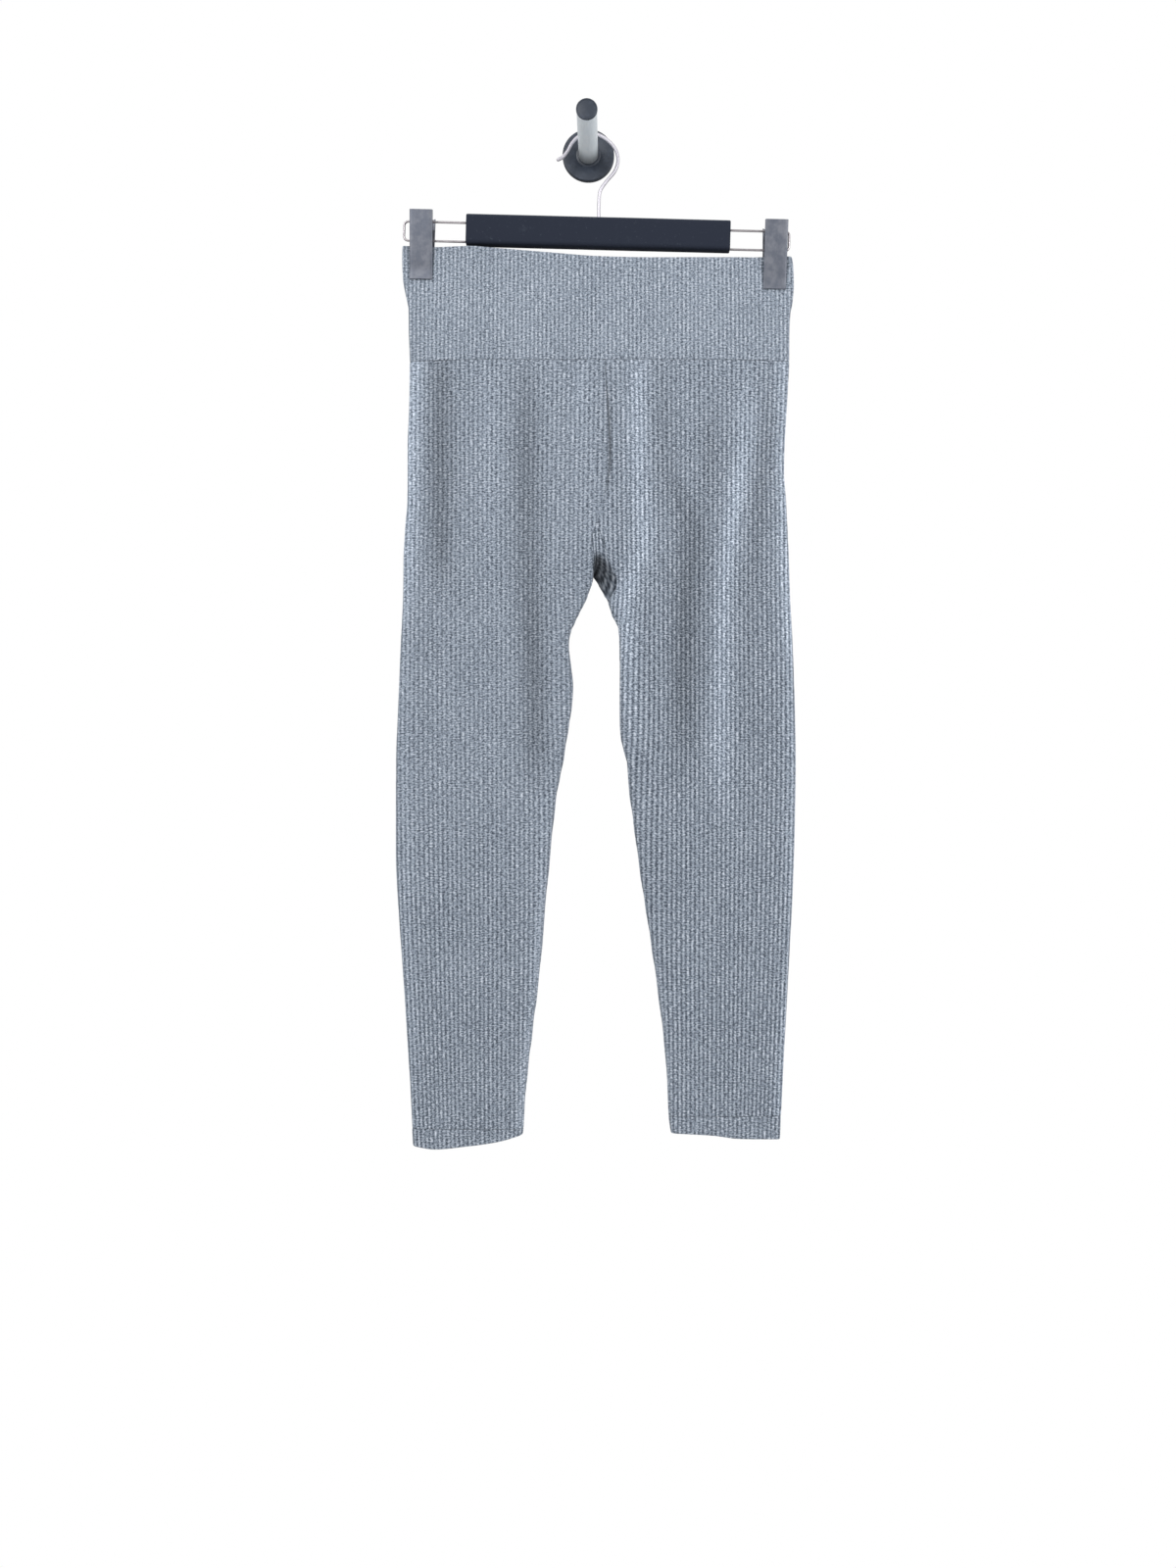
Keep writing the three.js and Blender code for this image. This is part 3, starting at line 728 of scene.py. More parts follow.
CLIP_STEEL = MetalFinish(
    name="satin_pressed_steel",
    base=(0.105, 0.118, 0.152),
    worn=(0.205, 0.214, 0.245),
    roughness=0.46,
    grain=(900.0, 900.0, 60.0),
    grain_depth=0.03,
    metallic=0.6,
)
WIRE_STEEL = MetalFinish(
    name="plated_wire",
    base=(0.45, 0.42, 0.44),
    worn=(0.52, 0.49, 0.51),
    roughness=0.33,
    grain=(60.0, 60.0, 60.0),
    grain_depth=0.002,
)
HOOK_STEEL = MetalFinish(
    name="bright_hook_wire",
    base=(0.60, 0.58, 0.64),
    worn=(0.66, 0.64, 0.69),
    roughness=0.44,
    grain=(60.0, 60.0, 60.0),
    grain_depth=0.002,
    metallic=0.5,
)
PEG_CHROME = MetalFinish(
    name="brushed_chrome",
    base=(0.86, 0.94, 1.0),
    worn=(0.92, 0.97, 1.0),
    roughness=0.38,
    grain=(700.0, 25.0, 700.0),
    grain_depth=0.02,
    metallic=0.1,
    shaded_end=(-0.035, -0.004),
)


# Ribbed cloth


# Change of shade to a millimetre of depth, which is below 0 on a ridge
TROUGH_SHADE = -0.05
RIDGE_SHADE = -0.09


@dataclass(frozen=True)
class Crease:
    """A soft trough, or a ridge where its depth is negative, that runs down one layer of the cloth."""

    x_top: float
    x_middle: float
    x_bottom: float
    z_top: float
    z_bottom: float
    width: float
    depth: float

    def at(self, x: Array, z: Array) -> Array:
        """Depth of the crease at places on the layer.

        Args:
            x: Places across, in millimetres.
            z: Heights of those places.

        Returns:
            Depths in millimetres, below 0 on a ridge.
        """
        t = (self.z_top - z) / (self.z_top - self.z_bottom)
        inside = np.clip(t, 0.0, 1.0)
        path = ((0.0, self.x_top), (0.5, self.x_middle), (1.0, self.x_bottom))
        across = (x - smooth(path, inside)) / self.width
        return self.depth * np.sin(math.pi * inside) * np.exp(-across * across)

    def shade(self, x: Array, z: Array) -> Array:
        """How much paler, or darker below 0, the cloth shows in it."""
        return self.at(x, z) * (TROUGH_SHADE if self.depth > 0 else RIDGE_SHADE)


@dataclass(frozen=True)
class ShadeBand:
    """Long streak of painted light, or painted shade where its strength is below 0, given by rows of z, x,
    half width and strength.
    """

    rows: Table

    def at(self, x: Array, z: Array) -> Array:
        """How much paler the cloth shows at places on the layer.

        Args:
            x: Places across, in millimetres.
            z: Heights of those places.

        Returns:
            Shares, below 0 where the cloth is darker.
        """
        z = np.clip(z, min(row[0] for row in self.rows), max(row[0] for row in self.rows))
        middle, width, strength = (smooth(self.rows, z, i) for i in (1, 2, 3))
        across = (x - middle) / width
        return strength * np.exp(-across * across)


@dataclass(frozen=True)
class SideFold:
    """How a flat tube turns over at one side: a round fold, a pressed strip, then a gentle swell."""

    radius: float
    swell: float
    flat: float = 0.0

    def half_depth(self, distance: Array, half: float) -> Array:
        """Half the tube's depth at distances from the fold.

        Args:
            distance: Distances from the fold.
            half: Half the tube's greatest depth.

        Returns:
            Distances from the tube's middle plane.
        """
        bend = np.clip(distance / self.radius, 0.0, 1.0)
        swell = np.clip((distance - self.flat) / self.swell, 0.0, 1.0)
        lobe = 1 - (1 - swell) ** 2
        return self.radius * np.sqrt(1 - (1 - bend) ** 2) + (half - self.radius) * lobe


@dataclass
class Ring:
    """One turn round a tube, from its outer fold along the front and the back layer to its inner end."""

    x_out: float
    x_front: float
    x_back: float
    depth: float
    height: Callable[[Array, Array, Face], Array]
    outer: SideFold
    inner: SideFold
    curl: float = 1.0
    inset: float = 0.0
    relief: float = 1.0


@dataclass
class Course:
    """One layer of a ring, as a line of places with their lengths and outward normals."""

    points: Array
    lengths: Array
    normals: Array

    def at(self, lengths: Array, inward: Array) -> Array:
        """Places at lengths along the layer, moved inward along the cloth's normal.

        Args:
            lengths: Lengths from the outer fold.
            inward: How far each place moves inward.

        Returns:
            The places.
        """
        places = [np.interp(lengths, self.lengths, self.points[:, i]) for i in range(3)]
        across = np.interp(lengths, self.lengths, self.normals[:, 0])
        through = np.interp(lengths, self.lengths, self.normals[:, 1])
        size = np.hypot(across, through)
        return np.stack(
            [places[0] - across / size * inward, places[1] - through / size * inward, places[2]], axis=-1
        )


@dataclass
class RibLine:
    """Corners of one layer of a ring: places, knit places, shades, shares along it and its first column."""

    points: Array
    places: Array
    shades: Array
    shares: Array
    first: int


@dataclass
class RibbedTube:
    """A tube of ribbed knit laid flat, with its ribs raised outside and a plain inside."""

    name: str
    rib_height: float = 0.6
    wall: float = 0.75
    columns_per_rib: int = 6
    inner_columns: int = 26
    bend_steps: int = 12
    layer_steps: int = 200
    row_step: float = 5.5
    crest_sharpness: float = 1.4
    sway: float = 0.07
    anchor: float = 0.0
    ribs_each_side: int = 110
    creases: dict[Face, tuple[Crease, ...]] = field(default_factory=dict)
    bands: tuple[ShadeBand, ...] = ()
    clear_line: Table = ((-1.0, 1.0), (0.0, 1.0))
    back_offset: float = 400.0

    def rings(self) -> list[Ring]:
        """Rings from the top edge to the bottom edge."""
        raise NotImplementedError

    def pitch(self, ring: Ring) -> float:
        """Width of a rib on a ring."""
        raise NotImplementedError

    def drift(self, lengths: Array, total: float, z: float, middle: float) -> Array:
        """How far ribs lean along the layer from their even places."""
        return np.zeros_like(lengths)

    def course(self, ring: Ring, face: Face) -> Course:
        """Work out one layer of a ring.

        Args:
            ring: The ring.
            face: The layer.

        Returns:
            The layer's line.
        """
        end = ring.x_front if face is Face.FRONT else ring.x_back
        meeting = (ring.x_front + ring.x_back) / 2
        half = ring.depth / 2
        run = abs(end - ring.x_out)
        heading = math.copysign(1.0, end - ring.x_out)
        bend = 1 - np.cos(np.linspace(0, QUARTER, self.bend_steps, endpoint=False))
        distance = np.concatenate([
            ring.outer.radius * bend,
            np.linspace(ring.outer.radius, run - ring.inner.radius, self.layer_steps),
            run - ring.inner.radius * bend[::-1],
        ])
        inside = ring.inner.half_depth(run - distance, half) / half
        depth = ring.outer.half_depth(distance, half) * (1 + (inside - 1) * ring.curl)
        shift = (meeting - end) * (1 - inside) if ring.curl == 1.0 else 0.0
        x = ring.x_out + heading * distance + shift
        z = ring.height(x, distance / run, face)
        cover = np.minimum(1.0, depth / half) ** 2
        for crease in self.creases.get(face, ()):
            depth = depth - crease.at(x, z) * cover
        depth = depth + self.slack(x, z, face) * cover
        points = np.stack([x, HANG_Y + face.value * depth, z], axis=-1)
        steps = np.linalg.norm(np.diff(points, axis=0), axis=1)
        lengths = np.concatenate([[0.0], np.cumsum(steps)])
        tangent = np.gradient(points[:, :2], axis=0)
        normals = np.stack([tangent[:, 1], -tangent[:, 0]], axis=-1) * -face.value * heading
        normals /= np.linalg.norm(normals, axis=1, keepdims=True)
        normals[0] = (-heading, 0.0)
        if ring.curl == 1.0:
            normals[-1] = (heading, 0.0)
        return Course(points, lengths, normals)

    def slack(self, x: Array, z: Array, face: Face) -> Array:
        """Slight unevenness of hanging knit, in millimetres outward.

        Args:
            x: Places across, in millimetres.
            z: Heights of those places.
            face: The layer.

        Returns:
            Distances in millimetres.
        """
        turn = 1.3 * face.value
        wide = np.sin(x / 31.0 + z / 97.0 + turn) * np.sin(z / 53.0 - x / 140.0 + 2 * turn)
        fine = np.sin(x / 13.0 - z / 71.0 + 4 * turn) * np.sin(z / 29.0 + x / 47.0)
        return 0.55 * wide + 0.22 * fine

    def shade(self, x: Array, z: Array, face: Face) -> Array:
        """How much paler the cloth shows at places on a layer.

        Args:
            x: Places across, in millimetres.
            z: Heights of those places.
            face: The layer.

        Returns:
            Shares, below 0 where the cloth is darker.
        """
        if face is Face.FRONT:
            return sum((band.at(x, z) for band in self.bands), np.zeros_like(x))
        return sum((crease.shade(x, z) for crease in self.creases.get(face, ())), np.zeros_like(x))

    def clear(self, x: Array, z: Array, ring: Ring, face: Face) -> Array:
        """How clear the ribs are at places on a layer."""
        return smooth(self.clear_line, z)

    def ribbed(self, course: Course, ring: Ring, face: Face) -> "RibLine":
        """Outer corners of one layer of a ring, with ribs that run straight down through the anchor.

        Args:
            course: The layer's line.
            ring: The ring.
            face: The layer.

        Returns:
            The line of corners.
        """
        total = course.lengths[-1]
        pitch = self.pitch(ring)
        z = float(course.points[len(course.points) // 2, 2])
        order = np.argsort(course.points[:, 0])
        middle = float(np.interp(self.anchor, course.points[order, 0], course.lengths[order]))
        most = self.ribs_each_side * self.columns_per_rib
        phase = np.arange(-most, most + 1) / self.columns_per_rib
        rib = np.round(phase)
        waver = self.sway * np.sin(z / 41.0 + rib * 1.9) * np.sin(z / 17.0 + rib * 0.7)
        lengths = middle + phase * pitch
        lengths = lengths + self.drift(lengths, total, z, middle) + waver
        margin = 0.3 * pitch / self.columns_per_rib
        kept = np.flatnonzero((lengths > margin) & (lengths < total - margin))
        before = phase[kept[0]] - lengths[kept[0]] / pitch
        after = phase[kept[-1]] + (total - lengths[kept[-1]]) / pitch
        lengths = np.concatenate([[0.0], lengths[kept], [total]])
        phase = np.concatenate([[before], phase[kept], [after]])
        crest = (np.cos(math.pi * phase) ** 2) ** self.crest_sharpness
        crest[0] = 0.5
        crest[-1] = 0.0
        points = course.at(lengths, self.rib_height * (1 - crest * ring.relief) + ring.inset)
        offset = self.back_offset if face is Face.BACK else 0.0
        x, heights = points[:, 0], points[:, 2]
        places = np.stack([phase + offset, -heights], axis=-1)
        shades = np.stack([self.shade(x, heights, face), self.clear(x, heights, ring, face)], axis=-1)
        return RibLine(points, places, shades, lengths / total, int(kept[0]) - 1)

    def plain(self, course: Course, ring: Ring) -> tuple[Array, Array, Array]:
        """Inner corners of one layer of a ring, as for the ribbed ones.

        Args:
            course: The layer's line.
            ring: The ring.

        Returns:
            The corners, their knit places and their shares of the layer's length.
        """
        total = course.lengths[-1]
        near = QUARTER * ring.outer.radius
        far = total - QUARTER * ring.inner.radius
        middle = np.linspace(near, far, self.inner_columns - 6)
        lengths = np.concatenate([
            np.array([0.0, near / 3, near * 2 / 3]), middle, far + (total - far) * np.array([1, 2, 3]) / 3
        ])
        inward = np.full(len(lengths), self.rib_height + self.wall - ring.inset)
        points = course.at(lengths, inward)
        places = np.stack([lengths / self.pitch(ring) + 2 * self.back_offset, -points[:, 2]], axis=-1)
        return points, places, lengths / total

    def rim(self, sculpt: Sculpt, outer: tuple, inner: tuple, flip: bool) -> None:
        """Close the edge between an outer and an inner line that differ in number.

        Args:
            sculpt: The piece.
            outer: Corner numbers and shares of the outer line.
            inner: Corner numbers and shares of the inner line.
            flip: Whether the faces point the other way.
        """
        a, a_share = outer
        b, b_share = inner
        i = j = 0
        while i < len(a) - 1 or j < len(b) - 1:
            next_a = a_share[i + 1] if i < len(a) - 1 else math.inf
            next_b = b_share[j + 1] if j < len(b) - 1 else math.inf
            if next_a <= next_b:
                sculpt.face((a[i], a[i + 1], b[j]), flip)
                i += 1
            else:
                sculpt.face((a[i], b[j + 1], b[j]), flip)
                j += 1

    def build(self) -> Piece:
        """Build the tube's mesh.

        Returns:
            The piece.
        """
        sculpt = Sculpt(self.name)
        rings = self.rings()
        for face in Face:
            courses = [self.course(ring, face) for ring in rings]
            heading = math.copysign(1.0, rings[0].x_front - rings[0].x_out)
            flip = face.value * heading > 0
            outer = [self.ribbed(c, r, face) for c, r in zip(courses, rings)]
            inner = [self.plain(c, r) for c, r in zip(courses, rings)]
            lines = [sculpt.add(line.points, line.places, line.shades) for line in outer]
            backs = [sculpt.add(points, places) for points, places, _ in inner]
            first = min(line.first for line in outer)
            last = max(line.first + len(line.points) for line in outer)
            rows = [
                np.pad(line, (given.first - first, last - given.first - len(line)), mode="edge")
                for line, given in zip(lines, outer)
            ]
            sculpt.sheet(np.stack(rows), flip)
            sculpt.sheet(np.stack(backs), not flip)
            for edge, turn in ((0, flip), (-1, not flip)):
                self.rim(sculpt, (lines[edge], outer[edge].shares), (backs[edge], inner[edge][2]), turn)
            for i in range(len(rings) - 1):
                if rings[i].curl < 1:
                    corners = (lines[i][-1], lines[i + 1][-1], backs[i + 1][-1], backs[i][-1])
                    sculpt.face(corners, flip)
        return sculpt.finish()

    def cut_area(self) -> float:
        """Flat area all round the tube, in square metres.

        Returns:
            The area.
        """
        rings = self.rings()
        lines = [[self.course(ring, face) for face in Face] for ring in rings]
        widths = np.array([sum(c.lengths[-1] for c in pair) for pair in lines])
        heights = np.array([np.mean([c.points[:, 2].mean() for c in pair]) for pair in lines])
        return float(np.sum((widths[1:] + widths[:-1]) / 2 * -np.diff(heights)) * MM * MM)


FOLDED_EDGE: Table = ((0.0, 0.62), (0.3, 0.28), (0.9, 0.08), (2.0, 0.0))
SEAM_EDGE: Table = ((0.0, 0.22), (0.8, 0.1), (2.2, 0.0))
HIP_FOLD = SideFold(3.2, 75.0)
INSEAM_FOLD = SideFold(4.5, 45.0)


@dataclass
class Leg(RibbedTube):
    """Leg with its half of the body: open above the crotch, closed into a tube below it."""

    open_columns: tuple[str, ...] = ("z_out", "z_front", "z_back", "x_front", "x_back", "depth", "curl")
    open_levels: Table = ()
    closed_levels: Table = ()
    outer_edge: Table = ()
    inner_edge: Table = ()
    pitch_line: Table = ((-1000.0, 4.33), (-220.0, 4.72))
    first_gusset_level: int = 2
    rows_per_gusset_level: int = 6
    fan: float = 0.0
    fan_reach: float = 26.0
    fan_rise: tuple[float, float] = (-400.0, -590.0)
    fan_fade: tuple[float, float] = (-700.0, -900.0)
    fold_middle: float = 98.0
    fold_follow: float = 0.45
    fold_reach: float = 45.0
    # Top and width of the inseam strip where the ribs fade, painted rim light that makes the turned fold
    # smooth and pale
    rim_light_strip: tuple[float, float] = (-742.0, 8.0)

    @property
    def apex(self) -> int:
        """Number of the level where the leg closes into a tube."""
        return len(self.open_levels) - 1

    def level(self, t: float) -> Ring:
        """Ring at a place between the numbered levels.

        Args:
            t: Number of the level, with a fraction between two levels.

        Returns:
            The ring.
        """
        if t <= self.apex:
            knots = np.arange(len(self.open_levels), dtype=float)
            table = np.array(self.open_levels)
            values = [float(eased(knots, table[:, i], np.array(t))) for i in range(table.shape[1])]
            row = dict(zip(self.open_columns, values))
            z_out, z_front, z_back = row["z_out"], row["z_front"], row["z_back"]
            x_front, x_back, depth = row["x_front"], row["x_back"], row["depth"]
            curl = min(row["curl"], 1.0)
        else:
            start = self.open_levels[-1]
            table = np.array([(start[0], start[1], start[5]), *self.closed_levels])
            knots = np.arange(len(table), dtype=float)
            values = [float(eased(knots, table[:, i], np.array(t - self.apex))) for i in range(3)]
            z_out, z_front, depth = values
            z_back = z_front
            x_front = float(smooth(self.inner_edge, z_front, 1))
            x_back = float(smooth(self.inner_edge, z_back, 2))
            curl = 1.0

        def height(x: Array, share: Array, face: Face) -> Array:
            end = z_front if face is Face.FRONT else z_back
            return z_out + (end - z_out) * share**2

        x_out = float(smooth(self.outer_edge, z_out))
        return Ring(x_out, x_front, x_back, depth, height, HIP_FOLD, INSEAM_FOLD, curl)

    def gusset_places(self) -> Array:
        """Places of the rings that end on the gusset, from its front tip to its side corner."""
        count = (self.apex - self.first_gusset_level) * self.rows_per_gusset_level + 1
        return np.linspace(self.first_gusset_level, self.apex, count)

    def rings(self) -> list[Ring]:
        """Rings from the waist seam to the hem seam.

        Returns:
            The rings, from the top down.
        """
        last = self.apex + len(self.closed_levels)
        fine = np.linspace(0, last, 40 * last + 1)
        depth_down = -np.array([self.height_out(t) for t in fine])
        top, bottom = depth_down[0], depth_down[-1]
        edge = [row[0] for row in SEAM_EDGE]
        gusset = self.gusset_places()
        starts = -self.height_out(gusset[0])
        ends = -self.height_out(gusset[-1])
        upper = np.arange(top + edge[-1], starts - self.row_step / 2, self.row_step)
        lower = np.arange(ends + self.row_step, bottom - edge[-1] - self.row_step / 2, self.row_step)
        near_top = [top + d for d in edge[:-1]]
        near_bottom = [bottom - d for d in reversed(edge)]
        above = np.interp(np.concatenate([near_top, upper]), depth_down, fine)
        below = np.interp(np.concatenate([lower, near_bottom]), depth_down, fine)
        made = []
        for t in np.concatenate([above, gusset, below]):
            ring = self.level(float(t))
            place = -self.height_out(float(t))
            ring.inset = float(smooth(SEAM_EDGE, min(place - top, bottom - place, edge[-1])))
            ring.relief = 1 - ring.inset
            made.append(ring)
        return made

    def height_out(self, t: float) -> float:
        """Height of a ring at its outer fold."""
        ring = self.level(float(t))
        return float(ring.height(np.zeros(1), np.zeros(1), Face.FRONT)[0])

    def pitch(self, ring: Ring) -> float:
        """Ribs narrow from the hips to the ankles."""
        z = float(ring.height(np.zeros(1), np.zeros(1), Face.FRONT)[0])
        return float(np.interp(z, *zip(*self.pitch_line)))

    def strip(self, x: Array, z: Array, ring: Ring) -> Array:
        """Share of the smooth pale strip that runs down inside the inseam fold, painted rim light where the
        ribs fade.

        Args:
            x: Places across, in millimetres.
            z: Heights of those places.
            ring: The ring.

        Returns:
            Shares from 0 to 1.
        """
        top, width = self.rim_light_strip
        beside = np.clip(1 - np.abs(x - ring.x_front) / width, 0.0, 1.0)
        return smoothstep(beside * 2.5) * smoothstep((top - z) / 40.0)

    def clear(self, x: Array, z: Array, ring: Ring, face: Face) -> Array:
        """How clear the ribs are at places on a layer."""
        # Ribs fade along the inseam fold, which paints a rim light there
        return smooth(self.clear_line, z) * (1 - 0.75 * self.strip(x, z, ring))

    def drift(self, lengths: Array, total: float, z: float, middle: float) -> Array:
        """Ribs follow the outer fold a little, and fan out towards the inseam below the crotch.

        Args:
            lengths: Even places of the ribs along the layer.
            total: The layer's length.
            z: Height of the ring.
            middle: Length from the outer fold to the anchor.

        Returns:
            Distances along the layer.
        """
        start, full = self.fan_rise
        fading, gone = self.fan_fade
        ease = smoothstep((start - z) / (start - full)) * np.clip((z - gone) / (fading - gone), 0.0, 1.0)
        fanned = self.fan * ease * np.exp(-(((total - lengths) / self.fan_reach) ** 2))
        near_fold = np.exp(-((np.maximum(lengths, 0.0) / self.fold_reach) ** 2))
        return fanned - self.fold_follow * (middle - self.fold_middle) * near_fold


@dataclass
class Waistband(RibbedTube):
    """Wide double waistband, one turned tube from side fold to side fold."""

    rib_height: float = 0.5
    wall: float = 1.3
    inner_columns: int = 40
    anchor: float = 10.0
    rib_pitch: float = 4.16
    bottom: float = -221.8
    top_edge: Table = (
        (-190.0, -103.4),
        (-157.0, -104.8),
        (-122.0, -104.8),
        (-93.0, -107.5),
        (-39.0, -112.0),
        (14.0, -116.0),
        (68.0, -117.4),
        (121.0, -116.8),
        (162.0, -115.5),
        (208.0, -114.2),
    )
    # Share of the way down, left and right x, fold radius, depth, pressed strip at the sides
    sections: Table = (
        (0.0, -189.6, 208.0, 2.6, 15.0, 40.0),
        (0.12, -189.9, 210.0, 2.6, 15.2, 40.0),
        (0.28, -189.0, 210.6, 2.6, 15.8, 38.0),
        (0.42, -186.3, 209.0, 2.8, 16.5, 26.0),
        (0.55, -183.2, 206.8, 2.9, 17.2, 14.0),
        (0.75, -183.0, 206.0, 3.1, 18.2, 4.0),
        (1.0, -182.0, 205.8, 3.2, 19.0, 0.0),
    )
    row_step: float = 6.0
    mean_top: float = -112.0

    def rings(self) -> list[Ring]:
        """Rings from the folded top edge to the waist seam.

        Returns:
            The rings, from the top down.
        """
        length = self.mean_top - self.bottom
        margin = SEAM_EDGE[-1][0] / length
        even = np.linspace(margin, 1 - margin, int(length / self.row_step))
        top = [(d / length, inset) for d, inset in FOLDED_EDGE[:-1]]
        seam = [(1 - d / length, inset) for d, inset in reversed(SEAM_EDGE[:-1])]
        return [self.ring(share, inset) for share, inset in [*top, *((s, 0.0) for s in even), *seam]]

    def ring(self, share: float, inset: float) -> Ring:
        """Ring at a share of the way down.

        Args:
            share: Share of the way down.
            inset: How far the edge's turn draws the cloth in.

        Returns:
            The ring.
        """
        left, right, radius, depth, flat = (float(smooth(self.sections, share, i)) for i in range(1, 6))
        fold = SideFold(radius, 75.0, flat)

        def height(x: Array, along: Array, face: Face) -> Array:
            edge = smooth(self.top_edge, x)
            return edge + (self.bottom - edge) * share

        return Ring(left, right, right, depth, height, fold, fold, 1.0, inset, 1 - 0.8 * inset)

    def pitch(self, ring: Ring) -> float:
        """Even ribs."""
        return self.rib_pitch

    def slack(self, x: Array, z: Array, face: Face) -> Array:
        """Faint slanting ripples of the pulled band.

        Args:
            x: Places across, in millimetres.
            z: Heights of those places.
            face: The layer.

        Returns:
            Distances in millimetres.
        """
        slant = np.sin((x + z * 1.4) / 24.0 + face.value) * np.sin(x / 57.0 + 0.8)
        fade = np.clip((z + 222.0) / 30.0, 0.0, 1.0)
        return (0.35 * slant + 0.2 * np.sin(x / 37.0 - z / 19.0)) * fade


@dataclass
class Hem(RibbedTube):
    """Turned hem band at an ankle."""

    wall: float = 1.0
    top: float = -1003.3
    x_out: tuple[float, float] = (-179.5, -178.5)
    x_in: tuple[float, float] = (-65.5, -66.5)
    depth: tuple[float, float] = (13.0, 12.0)
    edge: Table = ()
    fall: float = 17.0
    rib_pitch: float = 4.33

    def rings(self) -> list[Ring]:
        """Rings from the hem seam to the folded bottom edge.

        Returns:
            The rings, from the top down.
        """
        length = self.fall
        seam = [(d / length, inset) for d, inset in SEAM_EDGE[:-1]]
        even = np.linspace(SEAM_EDGE[-1][0] / length, 1 - FOLDED_EDGE[-1][0] / length, 5)
        bottom = [(1 - d / length, inset) for d, inset in reversed(FOLDED_EDGE[:-1])]
        return [self.ring(s, inset) for s, inset in [*seam, *((e, 0.0) for e in even), *bottom]]

    def ring(self, share: float, inset: float) -> Ring:
        """Ring at a share of the way down.

        Args:
            share: Share of the way down.
            inset: How far the edge's turn draws the cloth in.

        Returns:
            The ring.
        """
        x_out, x_in, depth = (
            pair[0] + (pair[1] - pair[0]) * share for pair in (self.x_out, self.x_in, self.depth)
        )

        def height(x: Array, along: Array, face: Face) -> Array:
            return self.top + (smooth(self.edge, x) - self.top) * share

        return Ring(x_out, x_in, x_in, depth, height, HIP_FOLD, INSEAM_FOLD, 1.0, inset, 1 - 0.8 * inset)

    def pitch(self, ring: Ring) -> float:
        """Ribs that carry on from the leg."""
        return self.rib_pitch

    def slack(self, x: Array, z: Array, face: Face) -> Array:
        """No slack in the double band."""
        return np.zeros_like(x)


@dataclass
class Gusset:
    """Diamond crotch gusset between the two legs, ribbed from front to back."""

    left: Leg
    right: Leg
    name: str = "crotch_gusset"
    middle: Table = (
        (9.5, -38.0, -388.7),
        (9.5, -38.0, -404.0),
        (10.0, -36.0, -421.0),
        (9.5, -31.0, -429.0),
        (7.5, -26.0, -433.0),
        (4.0, -20.5, -437.0),
        (-2.5, -14.5, -437.0),
        (-5.0, -12.0, -409.0),
        (-5.0, -12.0, -392.7),
    )
    columns: int = 48
    rib_pitch: float = 3.4
    rib_height: float = 0.45
    wall: float = 1.2
    hollow_shade: float = -0.82
    # Shares of the way from front tip to back tip between which the gusset faces down, each with its blend
    under_front: tuple[float, float] = (0.19, 0.09)
    under_back: tuple[float, float] = (0.97, 0.1)
    rib_clearness: float = 1.6
    fullness: float = 0.35
    corner_rise: float = 1.5

    def edge(self, leg: Leg) -> Array:
        """Line of a leg's end from the gusset's front tip over its side corner to its back tip.

        Args:
            leg: The leg.

        Returns:
            Places just off the leg's end.
        """
        places = leg.gusset_places()
        lines = []
        for face, order in ((Face.FRONT, places), (Face.BACK, places[-2::-1])):
            for t in order:
                ring = leg.level(float(t))
                course = leg.course(ring, face)
                end = course.at(course.lengths[-1:], np.array([leg.rib_height]))[0]
                onward = course.points[-1] - course.points[-3]
                corner = t == places[-1]
                shift = (0, 0, self.corner_rise) if corner else onward / np.linalg.norm(onward) * SEAM_GAP
                lines.append(end + shift)
        return np.array(lines)

    def build(self) -> Piece:
        """Build the gusset's mesh.

        Returns:
            The piece.
        """
        left, right = self.edge(self.left), self.edge(self.right)
        rows = len(left)
        knots = np.linspace(0, 1, len(self.middle))
        line = np.linspace(0, 1, rows)
        centre = np.stack([eased(knots, np.array(self.middle)[:, i], line) for i in range(3)], axis=-1)
        u = np.linspace(0, 1, self.columns + 1)
        bow = (1 - self.fullness) * np.sin(math.pi * u) ** 2 + self.fullness * (1 - (2 * u - 1) ** 2)
        chord = (left + right) / 2
        flat = left[:, None] + (right - left)[:, None] * u[None, :, None]
        base = flat + (centre - chord)[:, None] * bow[None, :, None]
        base[0] = centre[0]
        base[-1] = centre[-1]
        down = np.gradient(base, axis=0)
        across = np.gradient(base, axis=1)
        normal = np.cross(across, down)
        size = np.linalg.norm(normal, axis=2, keepdims=True)
        normal = np.where(size > 1e-6, normal / np.maximum(size, 1e-9), 0.0)
        normal[0] = normal[1]
        normal[-1] = normal[-2]
        inside = np.array([3.0, HANG_Y, -330.0])
        outward = np.sign(np.sum(normal * (base - inside), axis=2, keepdims=True))
        normal = normal * outward
        width = np.linalg.norm(right - left, axis=1)[:, None]
        place = (u[None, :] - 0.5) * width / self.rib_pitch
        edge_fade = np.clip(np.minimum(u, 1 - u) * width / 2.0, 0, 1)[..., None]
        relief = (1 - np.cos(math.pi * place) ** 2)[..., None] * edge_fade
        outer = base - normal * self.rib_height * relief
        inner = base - normal * (self.rib_height + self.wall)
        span = np.cumsum(np.concatenate([[0.0], np.linalg.norm(np.diff(centre, axis=0), axis=1)]))
        places = np.stack([place + 900.0, np.repeat(span[:, None], len(u), axis=1)], axis=-1)
        (front, front_blend), (back, back_blend) = self.under_front, self.under_back
        under = smoothstep((line - front) / front_blend) * smoothstep((back - line) / back_blend)
        hollow = self.hollow_shade * (np.sin(math.pi * u) ** 0.4)[None, :] * under[:, None]
        shades = np.stack([hollow, np.full_like(hollow, self.rib_clearness)], axis=-1)
        sculpt = Sculpt(self.name)
        sculpt.slab(outer, inner, flip=False, places=places, shades=shades)
        return sculpt.finish()


